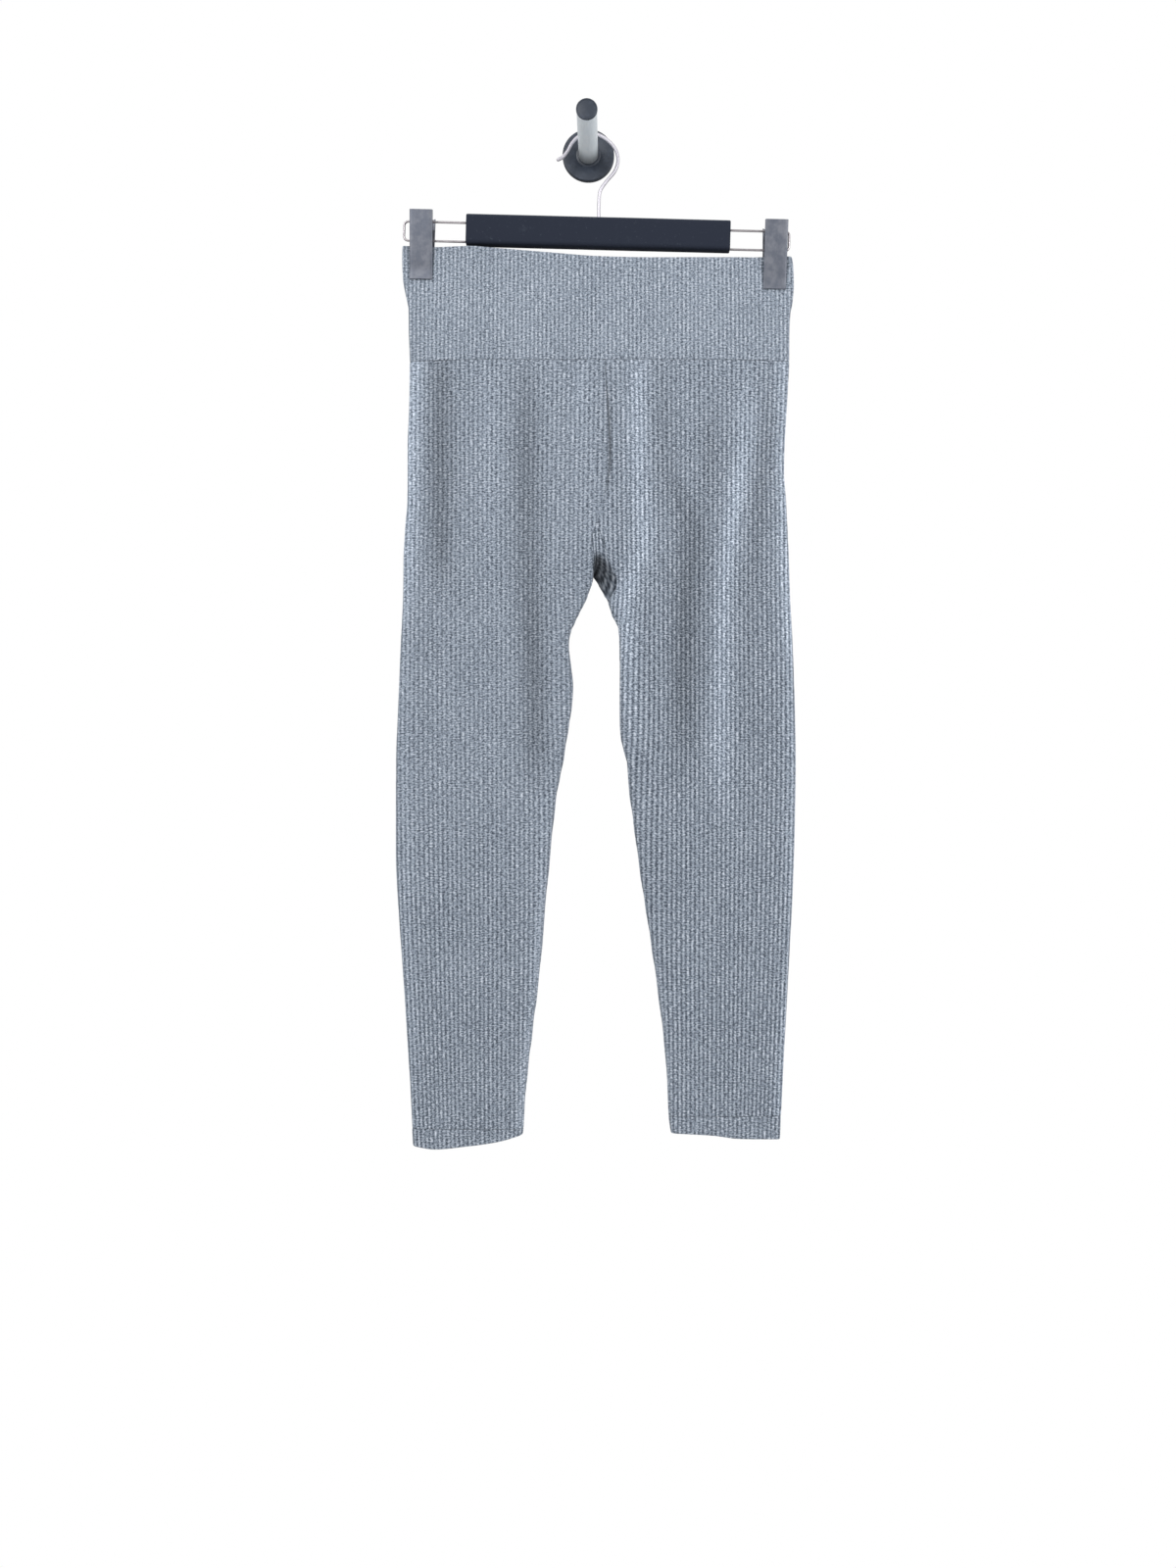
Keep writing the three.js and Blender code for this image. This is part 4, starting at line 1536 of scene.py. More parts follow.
# Largest creases, those of the solids first
FRONT_CREASES = (
    Crease(-148.0, -146.0, -144.0, -205.0, -450.0, 14.0, 4.5),
    Crease(-60.0, -58.0, -52.0, -215.0, -650.0, 14.0, 3.5),
    Crease(88.0, 108.0, 94.0, -205.0, -650.0, 16.0, 4.5),
    Crease(175.0, 172.0, 169.0, -270.0, -580.0, 12.0, 2.5),
    Crease(-102.0, -100.0, -98.0, -200.0, -470.0, 18.0, -2.0),
    Crease(50.0, 50.0, 58.0, -205.0, -420.0, 14.0, -2.0),
    Crease(160.0, 143.0, 137.0, -260.0, -660.0, 13.0, -2.5),
)
# Painted light and painted shade of the folds: long pale and dark streaks, paler streaks down both side
# edges and beside the left inseam, and a thin dark line by the centre-front seam
FRONT_SHADE_BANDS = (
    ShadeBand(((-100.0, -180.0, 11.0, 0.55), (-225.0, -180.0, 12.0, 0.50), (-300.0, -181.0, 12.0, 0.50),
          (-430.0, -184.0, 11.0, 0.42), (-520.0, -188.0, 9.0, 0.12), (-1003.0, -178.0, 8.0, 0.10))),
    ShadeBand(((-196.0, -150.0, 12.0, 0.0), (-235.0, -150.0, 13.0, -0.28), (-330.0, -150.0, 13.0, -0.34),
          (-410.0, -149.0, 13.0, -0.28), (-470.0, -146.0, 14.0, 0.0))),
    ShadeBand(((-215.0, -62.0, 12.0, 0.0), (-245.0, -62.0, 13.0, -0.16), (-330.0, -62.0, 14.0, -0.28),
          (-420.0, -61.0, 14.0, -0.27), (-520.0, -56.0, 14.0, -0.34), (-600.0, -54.0, 13.0, -0.30),
          (-670.0, -54.0, 12.0, 0.0))),
    ShadeBand(((-230.0, 20.0, 8.0, 0.0), (-270.0, 20.0, 8.0, -0.08), (-360.0, 20.0, 8.0, 0.0))),
    ShadeBand(((-205.0, 50.0, 10.0, 0.0), (-250.0, 50.0, 11.0, 0.30), (-330.0, 51.0, 11.0, 0.34),
          (-400.0, 56.0, 12.0, 0.34), (-470.0, 38.0, 12.0, 0.42), (-560.0, 40.0, 11.0, 0.22),
          (-640.0, 52.0, 11.0, 0.0))),
    ShadeBand(((-205.0, 72.0, 11.0, 0.0), (-250.0, 76.0, 11.0, -0.10), (-320.0, 78.0, 12.0, -0.15),
          (-395.0, 104.0, 16.0, -0.28), (-470.0, 100.0, 15.0, -0.36), (-560.0, 98.0, 15.0, -0.32),
          (-670.0, 96.0, 14.0, 0.0))),
    ShadeBand(((-230.0, 160.0, 10.0, 0.0), (-290.0, 160.0, 11.0, 0.24), (-350.0, 152.0, 10.0, 0.42),
          (-410.0, 142.0, 10.0, 0.40), (-480.0, 136.0, 10.0, 0.36), (-610.0, 134.0, 11.0, 0.30),
          (-700.0, 134.0, 12.0, 0.0))),
    ShadeBand(((-215.0, 184.0, 10.0, 0.0), (-250.0, 184.0, 9.0, -0.08), (-350.0, 176.0, 9.0, -0.20),
          (-450.0, 168.0, 9.0, -0.12), (-570.0, 164.0, 12.0, -0.07), (-660.0, 164.0, 12.0, 0.0))),
    ShadeBand(((-110.0, 204.0, 9.0, 0.25), (-250.0, 202.0, 10.0, 0.30), (-350.0, 202.0, 10.0, 0.42),
          (-480.0, 206.0, 10.0, 0.50), (-570.0, 210.0, 9.0, 0.24), (-760.0, 210.0, 8.0, 0.22),
          (-990.0, 197.0, 8.0, 0.34))),
    ShadeBand(((-240.0, 18.5, 1.6, 0.0), (-262.0, 20.5, 1.6, -0.30), (-318.0, 22.4, 1.8, -0.45),
          (-345.0, 20.5, 1.8, -0.35), (-368.0, 15.0, 1.6, 0.0))),
    ShadeBand(((-250.0, 124.0, 10.0, 0.0), (-310.0, 124.0, 10.0, -0.17), (-390.0, 122.0, 10.0, 0.0))),
    ShadeBand(((-215.0, -100.0, 16.0, 0.0), (-300.0, -100.0, 16.0, 0.07), (-430.0, -98.0, 16.0, 0.05),
          (-520.0, -98.0, 16.0, 0.0))),
    ShadeBand(((-224.0, -8.0, 8.0, 0.0), (-245.0, -8.0, 9.0, 0.14), (-300.0, -7.0, 9.0, 0.05),
          (-340.0, -7.0, 9.0, 0.0))),
    ShadeBand(((-640.0, -40.0, 6.0, 0.0), (-742.0, -46.0, 6.0, 0.12), (-860.0, -55.0, 6.0, 0.14),
          (-1003.0, -69.0, 6.0, 0.20))),
)
LEFT_FRONT_CREASES = (
    Crease(-50.0, -57.0, -50.0, -470.0, -640.0, 10.0, 2.0),
    Crease(-170.0, -174.0, -172.0, -230.0, -600.0, 12.0, -1.2),
    Crease(-20.0, -14.0, -30.0, -225.0, -470.0, 16.0, -1.4),
    Crease(-118.0, -112.0, -104.0, -480.0, -760.0, 22.0, -1.0),
    Crease(-150.0, -138.0, -128.0, -640.0, -900.0, 20.0, 0.9),
    Crease(-90.0, -84.0, -92.0, -720.0, -960.0, 16.0, -0.8),
    Crease(-40.0, -36.0, -40.0, -500.0, -660.0, 9.0, -1.6),
)
RIGHT_FRONT_CREASES = (
    Crease(33.0, 38.0, 42.0, -225.0, -330.0, 8.0, 1.6),
    Crease(52.0, 40.0, 60.0, -380.0, -640.0, 12.0, -2.4),
    Crease(94.0, 92.0, 96.0, -430.0, -640.0, 11.0, 1.8),
    Crease(190.0, 193.0, 192.0, -260.0, -620.0, 11.0, -1.4),
    Crease(150.0, 158.0, 164.0, -640.0, -900.0, 20.0, 0.9),
    Crease(100.0, 112.0, 118.0, -700.0, -960.0, 18.0, -0.9),
)
BACK_CREASES = (
    Crease(150.0, 145.0, 142.0, -205.0, -480.0, 16.0, 4.0),
    Crease(62.0, 66.0, 84.0, -215.0, -640.0, 15.0, 4.0),
    Crease(-52.0, -70.0, -96.0, -215.0, -600.0, 15.0, 4.0),
    Crease(-140.0, -145.0, -150.0, -240.0, -560.0, 13.0, 3.0),
    Crease(106.0, 104.0, 110.0, -230.0, -520.0, 16.0, -2.0),
    Crease(-104.0, -112.0, -122.0, -220.0, -560.0, 15.0, -2.0),
    Crease(40.0, 60.0, 78.0, -500.0, -680.0, 12.0, 1.6),
    Crease(-30.0, -48.0, -62.0, -480.0, -660.0, 12.0, 1.6),
    Crease(176.0, 172.0, 160.0, -560.0, -860.0, 20.0, 1.1),
    Crease(-160.0, -150.0, -146.0, -600.0, -880.0, 18.0, -1.1),
)


def leg_left() -> Leg:
    """Left leg's sizes.

    Returns:
        The leg.
    """
    return Leg(
        name="left_leg",
        open_levels=(
            (-222.1, -222.1, -222.1, 16.85, -5.15, 20.0, 0.0),
            (-318.0, -318.0, -318.0, 22.3, -5.15, 26.0, 0.0),
            (-388.0, -388.0, -392.0, 9.35, -5.15, 26.0, 0.0),
            (-400.0, -404.0, -409.0, 4.0, -10.5, 26.0, 0.0),
            (-413.0, -426.0, -432.0, 5.0, -11.0, 26.0, 0.3),
            (-428.0, -444.0, -449.0, 5.0, -8.0, 25.0, 0.65),
            (-446.0, -461.0, -461.0, 0.0, 0.0, 24.0, 1.0),
        ),
        closed_levels=(
            (-508.0, -514.0, 23.0),
            (-565.0, -565.0, 22.0),
            (-650.0, -650.0, 21.0),
            (-750.0, -750.0, 19.0),
            (-870.0, -870.0, 16.0),
            (-1003.0, -1003.0, 13.0),
        ),
        outer_edge=(
            (-222.0, -182.0),
            (-272.0, -183.0),
            (-302.0, -184.2),
            (-362.0, -184.3),
            (-392.0, -186.8),
            (-422.0, -188.6),
            (-452.0, -188.9),
            (-512.0, -191.2),
            (-572.0, -194.0),
            (-632.0, -196.0),
            (-722.0, -196.0),
            (-782.0, -193.3),
            (-842.0, -189.3),
            (-902.0, -185.0),
            (-962.0, -181.4),
            (-1003.0, -179.5),
        ),
        inner_edge=(
            (-461.0, 0.0, 0.0),
            (-470.0, -4.5, -4.0),
            (-482.0, -11.0, -10.0),
            (-502.0, -19.5, -17.5),
            (-514.0, -23.0, -15.5),
            (-533.0, -20.5, -13.9),
            (-552.0, -16.0, -13.9),
            (-572.0, -16.2, -16.2),
            (-602.0, -20.6, -20.6),
            (-632.0, -25.4, -25.4),
            (-662.0, -31.4, -31.4),
            (-722.0, -38.0, -38.0),
            (-782.0, -43.6, -43.6),
            (-842.0, -48.8, -48.8),
            (-902.0, -56.0, -56.0),
            (-962.0, -62.8, -62.8),
            (-1003.0, -65.5, -65.5),
        ),
        creases={
            Face.FRONT: (*FRONT_CREASES, *LEFT_FRONT_CREASES),
            Face.BACK: BACK_CREASES,
        },
        bands=FRONT_SHADE_BANDS,
        clear_line=((-222.0, 0.75), (-600.0, 0.7), (-760.0, 0.95), (-1003.0, 1.05)),
        anchor=-90.0,
        fan=5.0,
    )


def leg_right() -> Leg:
    """Right leg's sizes.

    Returns:
        The leg.
    """
    return Leg(
        name="right_leg",
        open_levels=(
            (-222.1, -222.1, -222.1, 17.15, -4.85, 20.0, 0.0),
            (-318.0, -318.0, -318.0, 22.6, -4.85, 26.0, 0.0),
            (-388.0, -388.0, -392.0, 9.65, -4.85, 26.0, 0.0),
            (-400.0, -404.0, -409.0, 15.0, 0.5, 26.0, 0.0),
            (-413.0, -426.0, -432.0, 20.5, 3.0, 26.0, 0.3),
            (-428.0, -447.0, -450.0, 29.0, 11.0, 25.0, 0.65),
            (-448.0, -466.0, -466.0, 20.0, 20.0, 24.0, 1.0),
        ),
        closed_levels=(
            (-508.0, -508.0, 23.0),
            (-592.0, -592.0, 22.0),
            (-650.0, -650.0, 21.0),
            (-750.0, -750.0, 19.0),
            (-870.0, -870.0, 16.0),
            (-990.0, -990.0, 13.0),
        ),
        outer_edge=(
            (-222.0, 205.8),
            (-272.0, 203.0),
            (-302.0, 201.0),
            (-332.0, 200.2),
            (-362.0, 202.4),
            (-392.0, 203.8),
            (-452.0, 206.0),
            (-512.0, 209.2),
            (-572.0, 211.0),
            (-632.0, 212.0),
            (-692.0, 211.2),
            (-752.0, 209.3),
            (-812.0, 206.4),
            (-872.0, 203.4),
            (-932.0, 200.0),
            (-990.0, 197.0),
        ),
        inner_edge=(
            (-466.0, 20.0, 20.0),
            (-482.0, 25.0, 25.0),
            (-492.0, 30.5, 29.8),
            (-506.0, 31.8, 31.8),
            (-587.0, 31.9, 32.2),
            (-606.0, 33.4, 33.6),
            (-617.0, 35.6, 35.6),
            (-628.0, 39.0, 39.0),
            (-647.0, 40.4, 40.4),
            (-692.0, 46.0, 46.0),
            (-752.0, 54.2, 54.2),
            (-812.0, 63.6, 63.6),
            (-872.0, 72.0, 72.0),
            (-932.0, 78.8, 78.8),
            (-990.0, 82.0, 82.0),
        ),
        creases={
            Face.FRONT: (*FRONT_CREASES, *RIGHT_FRONT_CREASES),
            Face.BACK: BACK_CREASES,
        },
        bands=FRONT_SHADE_BANDS,
        clear_line=((-222.0, 0.8), (-450.0, 1.05), (-1000.0, 1.15)),
        anchor=115.0,
        fold_middle=92.0,
        rim_light_strip=(-800.0, 5.0),
        fan=9.0,
    )


@dataclass
class Leggings:
    """The garment: waistband, two legs, gusset and two hems."""

    knit: KnitFinish = KnitFinish()
    band_knit: KnitFinish = KnitFinish(
        name="heather_band_knit", tone=0.455, crest=0.24, valley_shade=0.25, heather=1.1, fleck=1.3
    )
    waist_cut: tuple[float, float] = (0.80, 0.108)
    leg_cut_length: float = 0.781
    gusset_cut: tuple[float, float] = (0.034, 0.112)
    gusset_share: float = 0.62
    hem_cut_length: float = 0.019

    def build(self, clips: Sequence[Piece]) -> list[Piece]:
        """Build and dress every piece of cloth.

        Args:
            clips: The clip plates that hold the waistband; not used.

        Returns:
            The pieces, waistband first.
        """
        cloth, band_cloth = self.knit.make(), self.band_knit.make()
        waist = dress(Waistband(name="ribbed_waistband").build(), band_cloth, Slot.KNIT, "waistband")
        pieces = [waist]
        left, right = leg_left(), leg_right()
        for leg, node in ((left, "leg_left"), (right, "leg_right")):
            piece = dress(leg.build(), cloth, Slot.KNIT, node)
            width = sum(float(leg.course(leg.level(0.0), face).lengths[-1]) for face in Face) * MM
            area = leg.cut_area()
            pieces.append(piece)
        gusset = dress(Gusset(left, right).build(), cloth, Slot.KNIT, "gusset")
        width, length = self.gusset_cut
        area = self.gusset_share * width * length
        pieces.append(gusset)
        pieces.extend(self.hems(cloth, pieces[1:3]))
        return pieces

    def hems(self, cloth: bpy.types.Material, legs: Sequence[Piece]) -> list[Piece]:
        """Hem bands of both ankles.

        Args:
            cloth: The legs' material.
            legs: Both legs, left first.

        Returns:
            Both hems, left first.
        """
        left = Hem(
            name="left_hem",
            edge=(
                (-178.0, -1021.0),
                (-157.0, -1024.0),
                (-126.0, -1021.0),
                (-91.0, -1016.0),
                (-66.0, -1009.0),
            ),
            anchor=-90.0,
        )
        right = Hem(
            name="right_hem",
            top=-990.3,
            x_out=(197.0, 196.0),
            x_in=(82.0, 84.0),
            edge=((84.0, -1007.5), (126.0, -1009.5), (154.0, -1013.0), (197.0, -1014.0)),
            anchor=115.0,
        )
        pieces = []
        for hem, leg, node in ((left, legs[0], "hem_left"), (right, legs[1], "hem_right")):
            piece = dress(hem.build(), cloth, Slot.KNIT, node)
            width = 2 * abs(hem.x_out[0] - hem.x_in[0]) * MM
            pieces.append(piece)
        return pieces


# Hanger


@dataclass
class BarHanger:
    """Foam-covered bar with a wire loop at each end, on which the clips slide."""

    centre: tuple[float, float, float] = (10.4, HANG_Y, -90.4)
    tilt: float = 1.45
    length: float = 269.0
    height: float = 30.6
    thickness: float = 14.0
    corner: float = 4.0
    end_round: float = 1.2
    wire_radius: float = 1.15
    half_spacing: float = 9.7
    wire_corner: float = 4.2
    left_wire: tuple[float, float] = (-198.0, -2.2)
    right_wire: tuple[float, float] = (195.0, -3.1)

    def section(self, shrink: float) -> Array:
        """Rounded section of the bar, smaller by a margin.

        Args:
            shrink: The margin.

        Returns:
            Places round the section, as y and z.
        """
        corner = max(self.corner - shrink, 0.6)
        half_y = self.thickness / 2 - shrink - corner
        half_z = self.height / 2 - shrink - corner
        points = []
        for i, (side_y, side_z) in enumerate(((1, 1), (-1, 1), (-1, -1), (1, -1))):
            for a in np.linspace(i * QUARTER, (i + 1) * QUARTER, 8):
                y = side_y * half_y + corner * math.cos(a)
                points.append((y, side_z * half_z + corner * math.sin(a)))
        return np.array(points)

    def bar(self) -> Piece:
        """Build the foam sleeve.

        Returns:
            The piece.
        """
        half = self.length / 2
        ends = [
            (half - self.end_round * (1 - math.sin(a)), self.end_round * (1 - math.cos(a)))
            for a in np.linspace(QUARTER, 0, 5)[::-1]
        ]
        middle = [(x, 0.0) for x in np.linspace(half - 4.0, -(half - 4.0), 60)]
        stations = [(x, s) for x, s in reversed(ends)] + middle + [(-x, s) for x, s in ends]
        rings = []
        for x, shrink in stations:
            section = self.section(shrink)
            wobble = 0.12 * math.sin(x / 23.0) * math.sin(x / 61.0 + 1.0)
            scale = 1 + wobble / self.height
            rings.append([(x, y, z * scale) for y, z in section])
        sculpt = Sculpt("foam_bar")
        grid = sculpt.add(tilted(np.array(rings), self.centre, self.tilt))
        sculpt.sheet(grid, flip=True, around=True)
        sculpt.face(tuple(grid[0]))
        sculpt.face(tuple(grid[-1]), flip=True)
        return sculpt.finish(sharp_degrees=50.0)

    def loop(self, name: str, place: tuple[float, float]) -> Piece:
        """Build a wire loop that runs out of one end of the bar and back into it.

        Args:
            name: The piece's name.
            place: The loop's end and its middle height.

        Returns:
            The piece.
        """
        end_x, middle_z = place
        side = math.copysign(1.0, end_x)
        start = side * (self.length / 2 + SEAM_GAP)
        r = self.wire_corner
        angles = np.linspace(0, QUARTER, 9)
        upper = [(start + (end_x - side * r - start) * t, self.half_spacing) for t in np.linspace(0, 1, 12)]
        bend = [
            (end_x - side * r * (1 - math.sin(a)), self.half_spacing - r * (1 - math.cos(a)))
            for a in angles[1:]
        ]
        half = upper + bend
        line = half + [(x, -z) for x, z in reversed(half)]
        path = np.array([(x, 0.0, middle_z + z) for x, z in line])
        sculpt = Sculpt(name)
        sculpt.tube(tilted(path, self.centre, self.tilt), self.wire_radius, 14)
        return sculpt.finish()

    def build(self) -> list[Piece]:
        """Build and dress the bar and its loops.

        Returns:
            The bar and both loops.
        """
        wire = WIRE_STEEL.make()
        return [
            dress(self.bar(), FoamFinish().make(), Slot.FOAM, "hanger_bar"),
            dress(self.loop("left_loop", self.left_wire), wire, Slot.WIRE, "wire_left"),
            dress(self.loop("right_loop", self.right_wire), wire, Slot.WIRE, "wire_right"),
        ]


@dataclass
class SpringClip:
    """Clip of two pressed steel plates on a coil spring, ridden on the wire loop."""

    side: str
    x: float
    z_top: float
    tilt: float
    width: float = 23.3
    sheet: float = 1.2
    bend: float = 1.1
    least_bend: float = 0.05
    # Distance down, distance from the middle plane, and depth of the turned-back edges
    profile: Table = (
        (0.0, 12.8, 2.6),
        (20.0, 10.4, 2.6),
        (48.0, 6.2, 2.6),
        (60.0, 4.4, 1.25),
        (67.0, 4.2, 1.2),
    )
    ear_reach: float = 4.2
    ear_half_height: float = 8.1
    ear_corner: float = 3.0
    ear_sheet: float = 1.0
    front_ear_x: float = 8.8
    back_ear_x: float = 7.2
    pin_z: float = -17.0
    spring_radius: float = 3.6
    spring_wire: float = 0.7
    arm_down: float = 7.0
    turns: int = 7
    teeth: int = 9
    # Half width, depth and height of a tooth
    tooth: tuple[float, float, float] = (0.75, 0.3, 1.0)
    stations: int = 40

    def section(self, reach: float, depth: float, inside: float) -> list[tuple[float, float]]:
        """Section across a plate, on its outer or its inner side.

        Args:
            reach: Distance of the plate's outer face from the middle plane.
            depth: Depth of its turned-back edges.
            inside: Distance of the line from the outer side, 0 or the sheet's thickness.

        Returns:
            Places across the plate, as x and distance from the middle plane.
        """
        half = self.width / 2 - inside
        bend = max(self.bend - inside, self.least_bend)
        face = reach - inside
        angles = np.linspace(0, QUARTER, 6)
        corner = [(half - bend * (1 - math.cos(a)), face - bend * (1 - math.sin(a))) for a in angles]
        side = [(half, min(reach - depth, face - bend - 0.02)), *corner]
        flat = self.width / 2 - self.bend
        middle = [(x, face) for x in np.linspace(flat, -flat, 9)[1:-1]]
        return side + middle + [(-x, y) for x, y in reversed(side)]

    def plate(self, sculpt: Sculpt, ear_x: float, back: bool) -> None:
        """Add one plate with its turned-back edges, jaw teeth and ears.

        Args:
            sculpt: The plate's piece.
            ear_x: How far its ears stand from the middle.
            back: Whether it is the back plate.
        """
        downs = np.linspace(0, self.profile[-1][0], self.stations)
        reaches = smooth(self.profile, downs, 1)
        depths = np.maximum(smooth(self.profile, downs, 2), self.bend + 0.1)
        shells = []
        for inside in (0.0, self.sheet):
            rows = [self.section(reach, depth, inside) for reach, depth in zip(reaches, depths)]
            shell = [[(x, -y, -down) for x, y in row] for row, down in zip(rows, downs)]
            shells.append(self.placed(np.array(shell), back))
        sculpt.slab(*shells, flip=True)
        for sign in (-1, 1):
            self.ear(sculpt, sign * ear_x, back)
        self.jaw_teeth(sculpt, back)

    def ear(self, sculpt: Sculpt, x: float, back: bool) -> None:
        """Add an ear that reaches from the plate past the spring's axis, between the wires.

        Args:
            sculpt: The plate's piece.
            x: The ear's place across.
            back: Whether it is the back plate.
        """
        low, high = self.pin_z - self.ear_half_height, self.pin_z + self.ear_half_height
        root, root_low = (float(smooth(self.profile, -z)) - self.sheet / 2 for z in (high, low))
        r, tip = self.ear_corner, -self.ear_reach
        arc = np.linspace(0, QUARTER, 7)
        upper = [(tip + r * (1 - math.sin(a)), high - r * (1 - math.cos(a))) for a in arc]
        lower = [(tip + r * (1 - math.cos(a)), low + r * (1 - math.sin(a))) for a in arc]
        outline = [(root, high)] + upper + lower + [(root_low, low)]
        first = np.array([(x - self.ear_sheet / 2, -y, z) for y, z in outline])
        second = first + np.array([self.ear_sheet, 0.0, 0.0])
        a = sculpt.add(self.placed(first, back))
        b = sculpt.add(self.placed(second, back))
        sculpt.face(tuple(a), flip=True)
        sculpt.face(tuple(b))
        sculpt.sheet(np.stack([a, b]), around=True)

    def jaw_teeth(self, sculpt: Sculpt, back: bool) -> None:
        """Add small blunt teeth along the jaw's lower edge that bite the cloth.

        Args:
            sculpt: The plate's piece.
            back: Whether it is the back plate.
        """
        down, out, _ = self.profile[-1]
        half, deep, tall = self.tooth
        root = out - self.sheet
        blocks = ((half, root, tall, 0.0), (half / 2, root - deep, tall * 0.7, 0.1))
        for i in range(self.teeth):
            x = (i - (self.teeth - 1) / 2) * (self.width - 4.0) / (self.teeth - 1)
            rings = []
            for wide, reach, high, low in blocks:
                corners = ((-wide, high), (wide, high), (wide, low), (-wide, low))
                rings.append([(x + across, -reach, up - down) for across, up in corners])
            grid = sculpt.add(self.placed(np.array(rings), back))
            sculpt.sheet(grid, around=True)
            sculpt.face(tuple(grid[1]))
            sculpt.face(tuple(grid[0]), flip=True)

    def placed(self, points: Array, back: bool) -> Array:
        """Put points of a plate in place, turned about for the back plate."""
        turned = points * np.array([-1.0, -1.0, 1.0]) if back else points
        return tilted(turned, (self.x, HANG_Y, self.z_top), self.tilt)

    def spring(self) -> Piece:
        """Build the coil spring with an arm against each plate.

        Returns:
            The piece.
        """
        middle = self.spring_radius - self.spring_wire
        reach = self.back_ear_x - self.ear_sheet / 2 - SEAM_GAP - self.spring_wire
        angles = np.linspace(0, TURN * self.turns, self.turns * 24 + 1)
        x = np.linspace(-reach, reach, len(angles))
        coil = np.stack([x, -middle * np.cos(angles), self.pin_z + middle * np.sin(angles)], axis=-1)
        rest = float(smooth(self.profile, self.arm_down)) - self.sheet - self.spring_wire
        arms = [np.array([(sign * reach, sign * rest, -self.arm_down)]) for sign in (-1, 1)]
        first = np.linspace(arms[0][0], coil[0], 8)[:-1]
        last_turn = coil[:-12]
        last = np.linspace(last_turn[-1], arms[1][0], 8)[1:]
        path = np.vstack([first, last_turn, last])
        sculpt = Sculpt(f"{self.side}_clip_spring")
        sculpt.tube(self.placed(path, False), self.spring_wire, 8)
        return sculpt.finish()

    def pin(self) -> Piece:
        """Build the pin through the ears, with a domed head at each end.

        Returns:
            The piece.
        """
        end = self.front_ear_x + self.ear_sheet / 2 + 0.9
        profile = [(end, 0.02), (end - 0.15, 1.2), (end - 0.45, 1.8), (end - 0.9, 2.1), (end - 0.9, 1.3)]
        stations = profile + [(-x, r) for x, r in reversed(profile)]
        angles = np.arange(20) * TURN / 20
        rings = [[(x, r * math.cos(a), self.pin_z + r * math.sin(a)) for a in angles] for x, r in stations]
        sculpt = Sculpt(f"{self.side}_clip_pin")
        grid = sculpt.add(self.placed(np.array(rings), False))
        sculpt.sheet(grid, flip=False, around=True)
        sculpt.face(tuple(grid[0]), flip=True)
        sculpt.face(tuple(grid[-1]))
        return sculpt.finish(sharp_degrees=40.0)

    def build(self, steel: bpy.types.Material, wire: bpy.types.Material) -> list[Piece]:
        """Build and dress the clip.

        Args:
            steel: The plates' finish.
            wire: The spring's and the pin's finish.

        Returns:
            Both plates, the spring and the pin.
        """
        pieces = []
        for half, ear_x, back in (("front", self.front_ear_x, False), ("back", self.back_ear_x, True)):
            sculpt = Sculpt(f"{self.side}_clip_{half}_plate")
            self.plate(sculpt, ear_x, back)
            piece = sculpt.finish(sharp_degrees=35.0, merge=1e-5)
            bevel = piece.modifiers.new("worn_edges", "BEVEL")
            bevel.width = 0.18 * MM
            bevel.segments = 2
            bevel.limit_method = "ANGLE"
            bevel.angle_limit = math.radians(40)
            pieces.append(dress(piece, steel, Slot.CLIP, f"clip_{self.side}_{half}"))
        pieces.append(dress(self.spring(), wire, Slot.WIRE, f"clip_{self.side}_spring"))
        pieces.append(dress(self.pin(), wire, Slot.WIRE))
        return pieces


@dataclass
class Hook:
    """Round wire hook that lies over the peg and screws into the bar."""

    radius: float = 1.75
    steps: int = 220
    path: Table = (
        (-30.5, -15.0),
        (-26.1, -12.6),
        (-20.7, -6.1),
        (-16.2, 2.0),
        (-9.5, 8.6),
        (0.0, 12.05),
        (10.0, 10.6),
        (20.4, 4.6),
        (28.0, -4.5),
        (30.6, -16.0),
        (27.4, -26.6),
        (18.6, -37.4),
        (12.6, -46.6),
        (11.2, -57.0),
        (11.0, -74.7),
    )

    def build(self) -> Piece:
        """Build and dress the hook.

        Returns:
            The hook.
        """
        line = wire_curve([(x, HANG_Y, z) for x, z in self.path], self.steps)
        sculpt = Sculpt("wire_hook")
        sculpt.tube(line, self.radius, 18)
        return dress(sculpt.finish(), HOOK_STEEL.make(), Slot.WIRE, "hook")


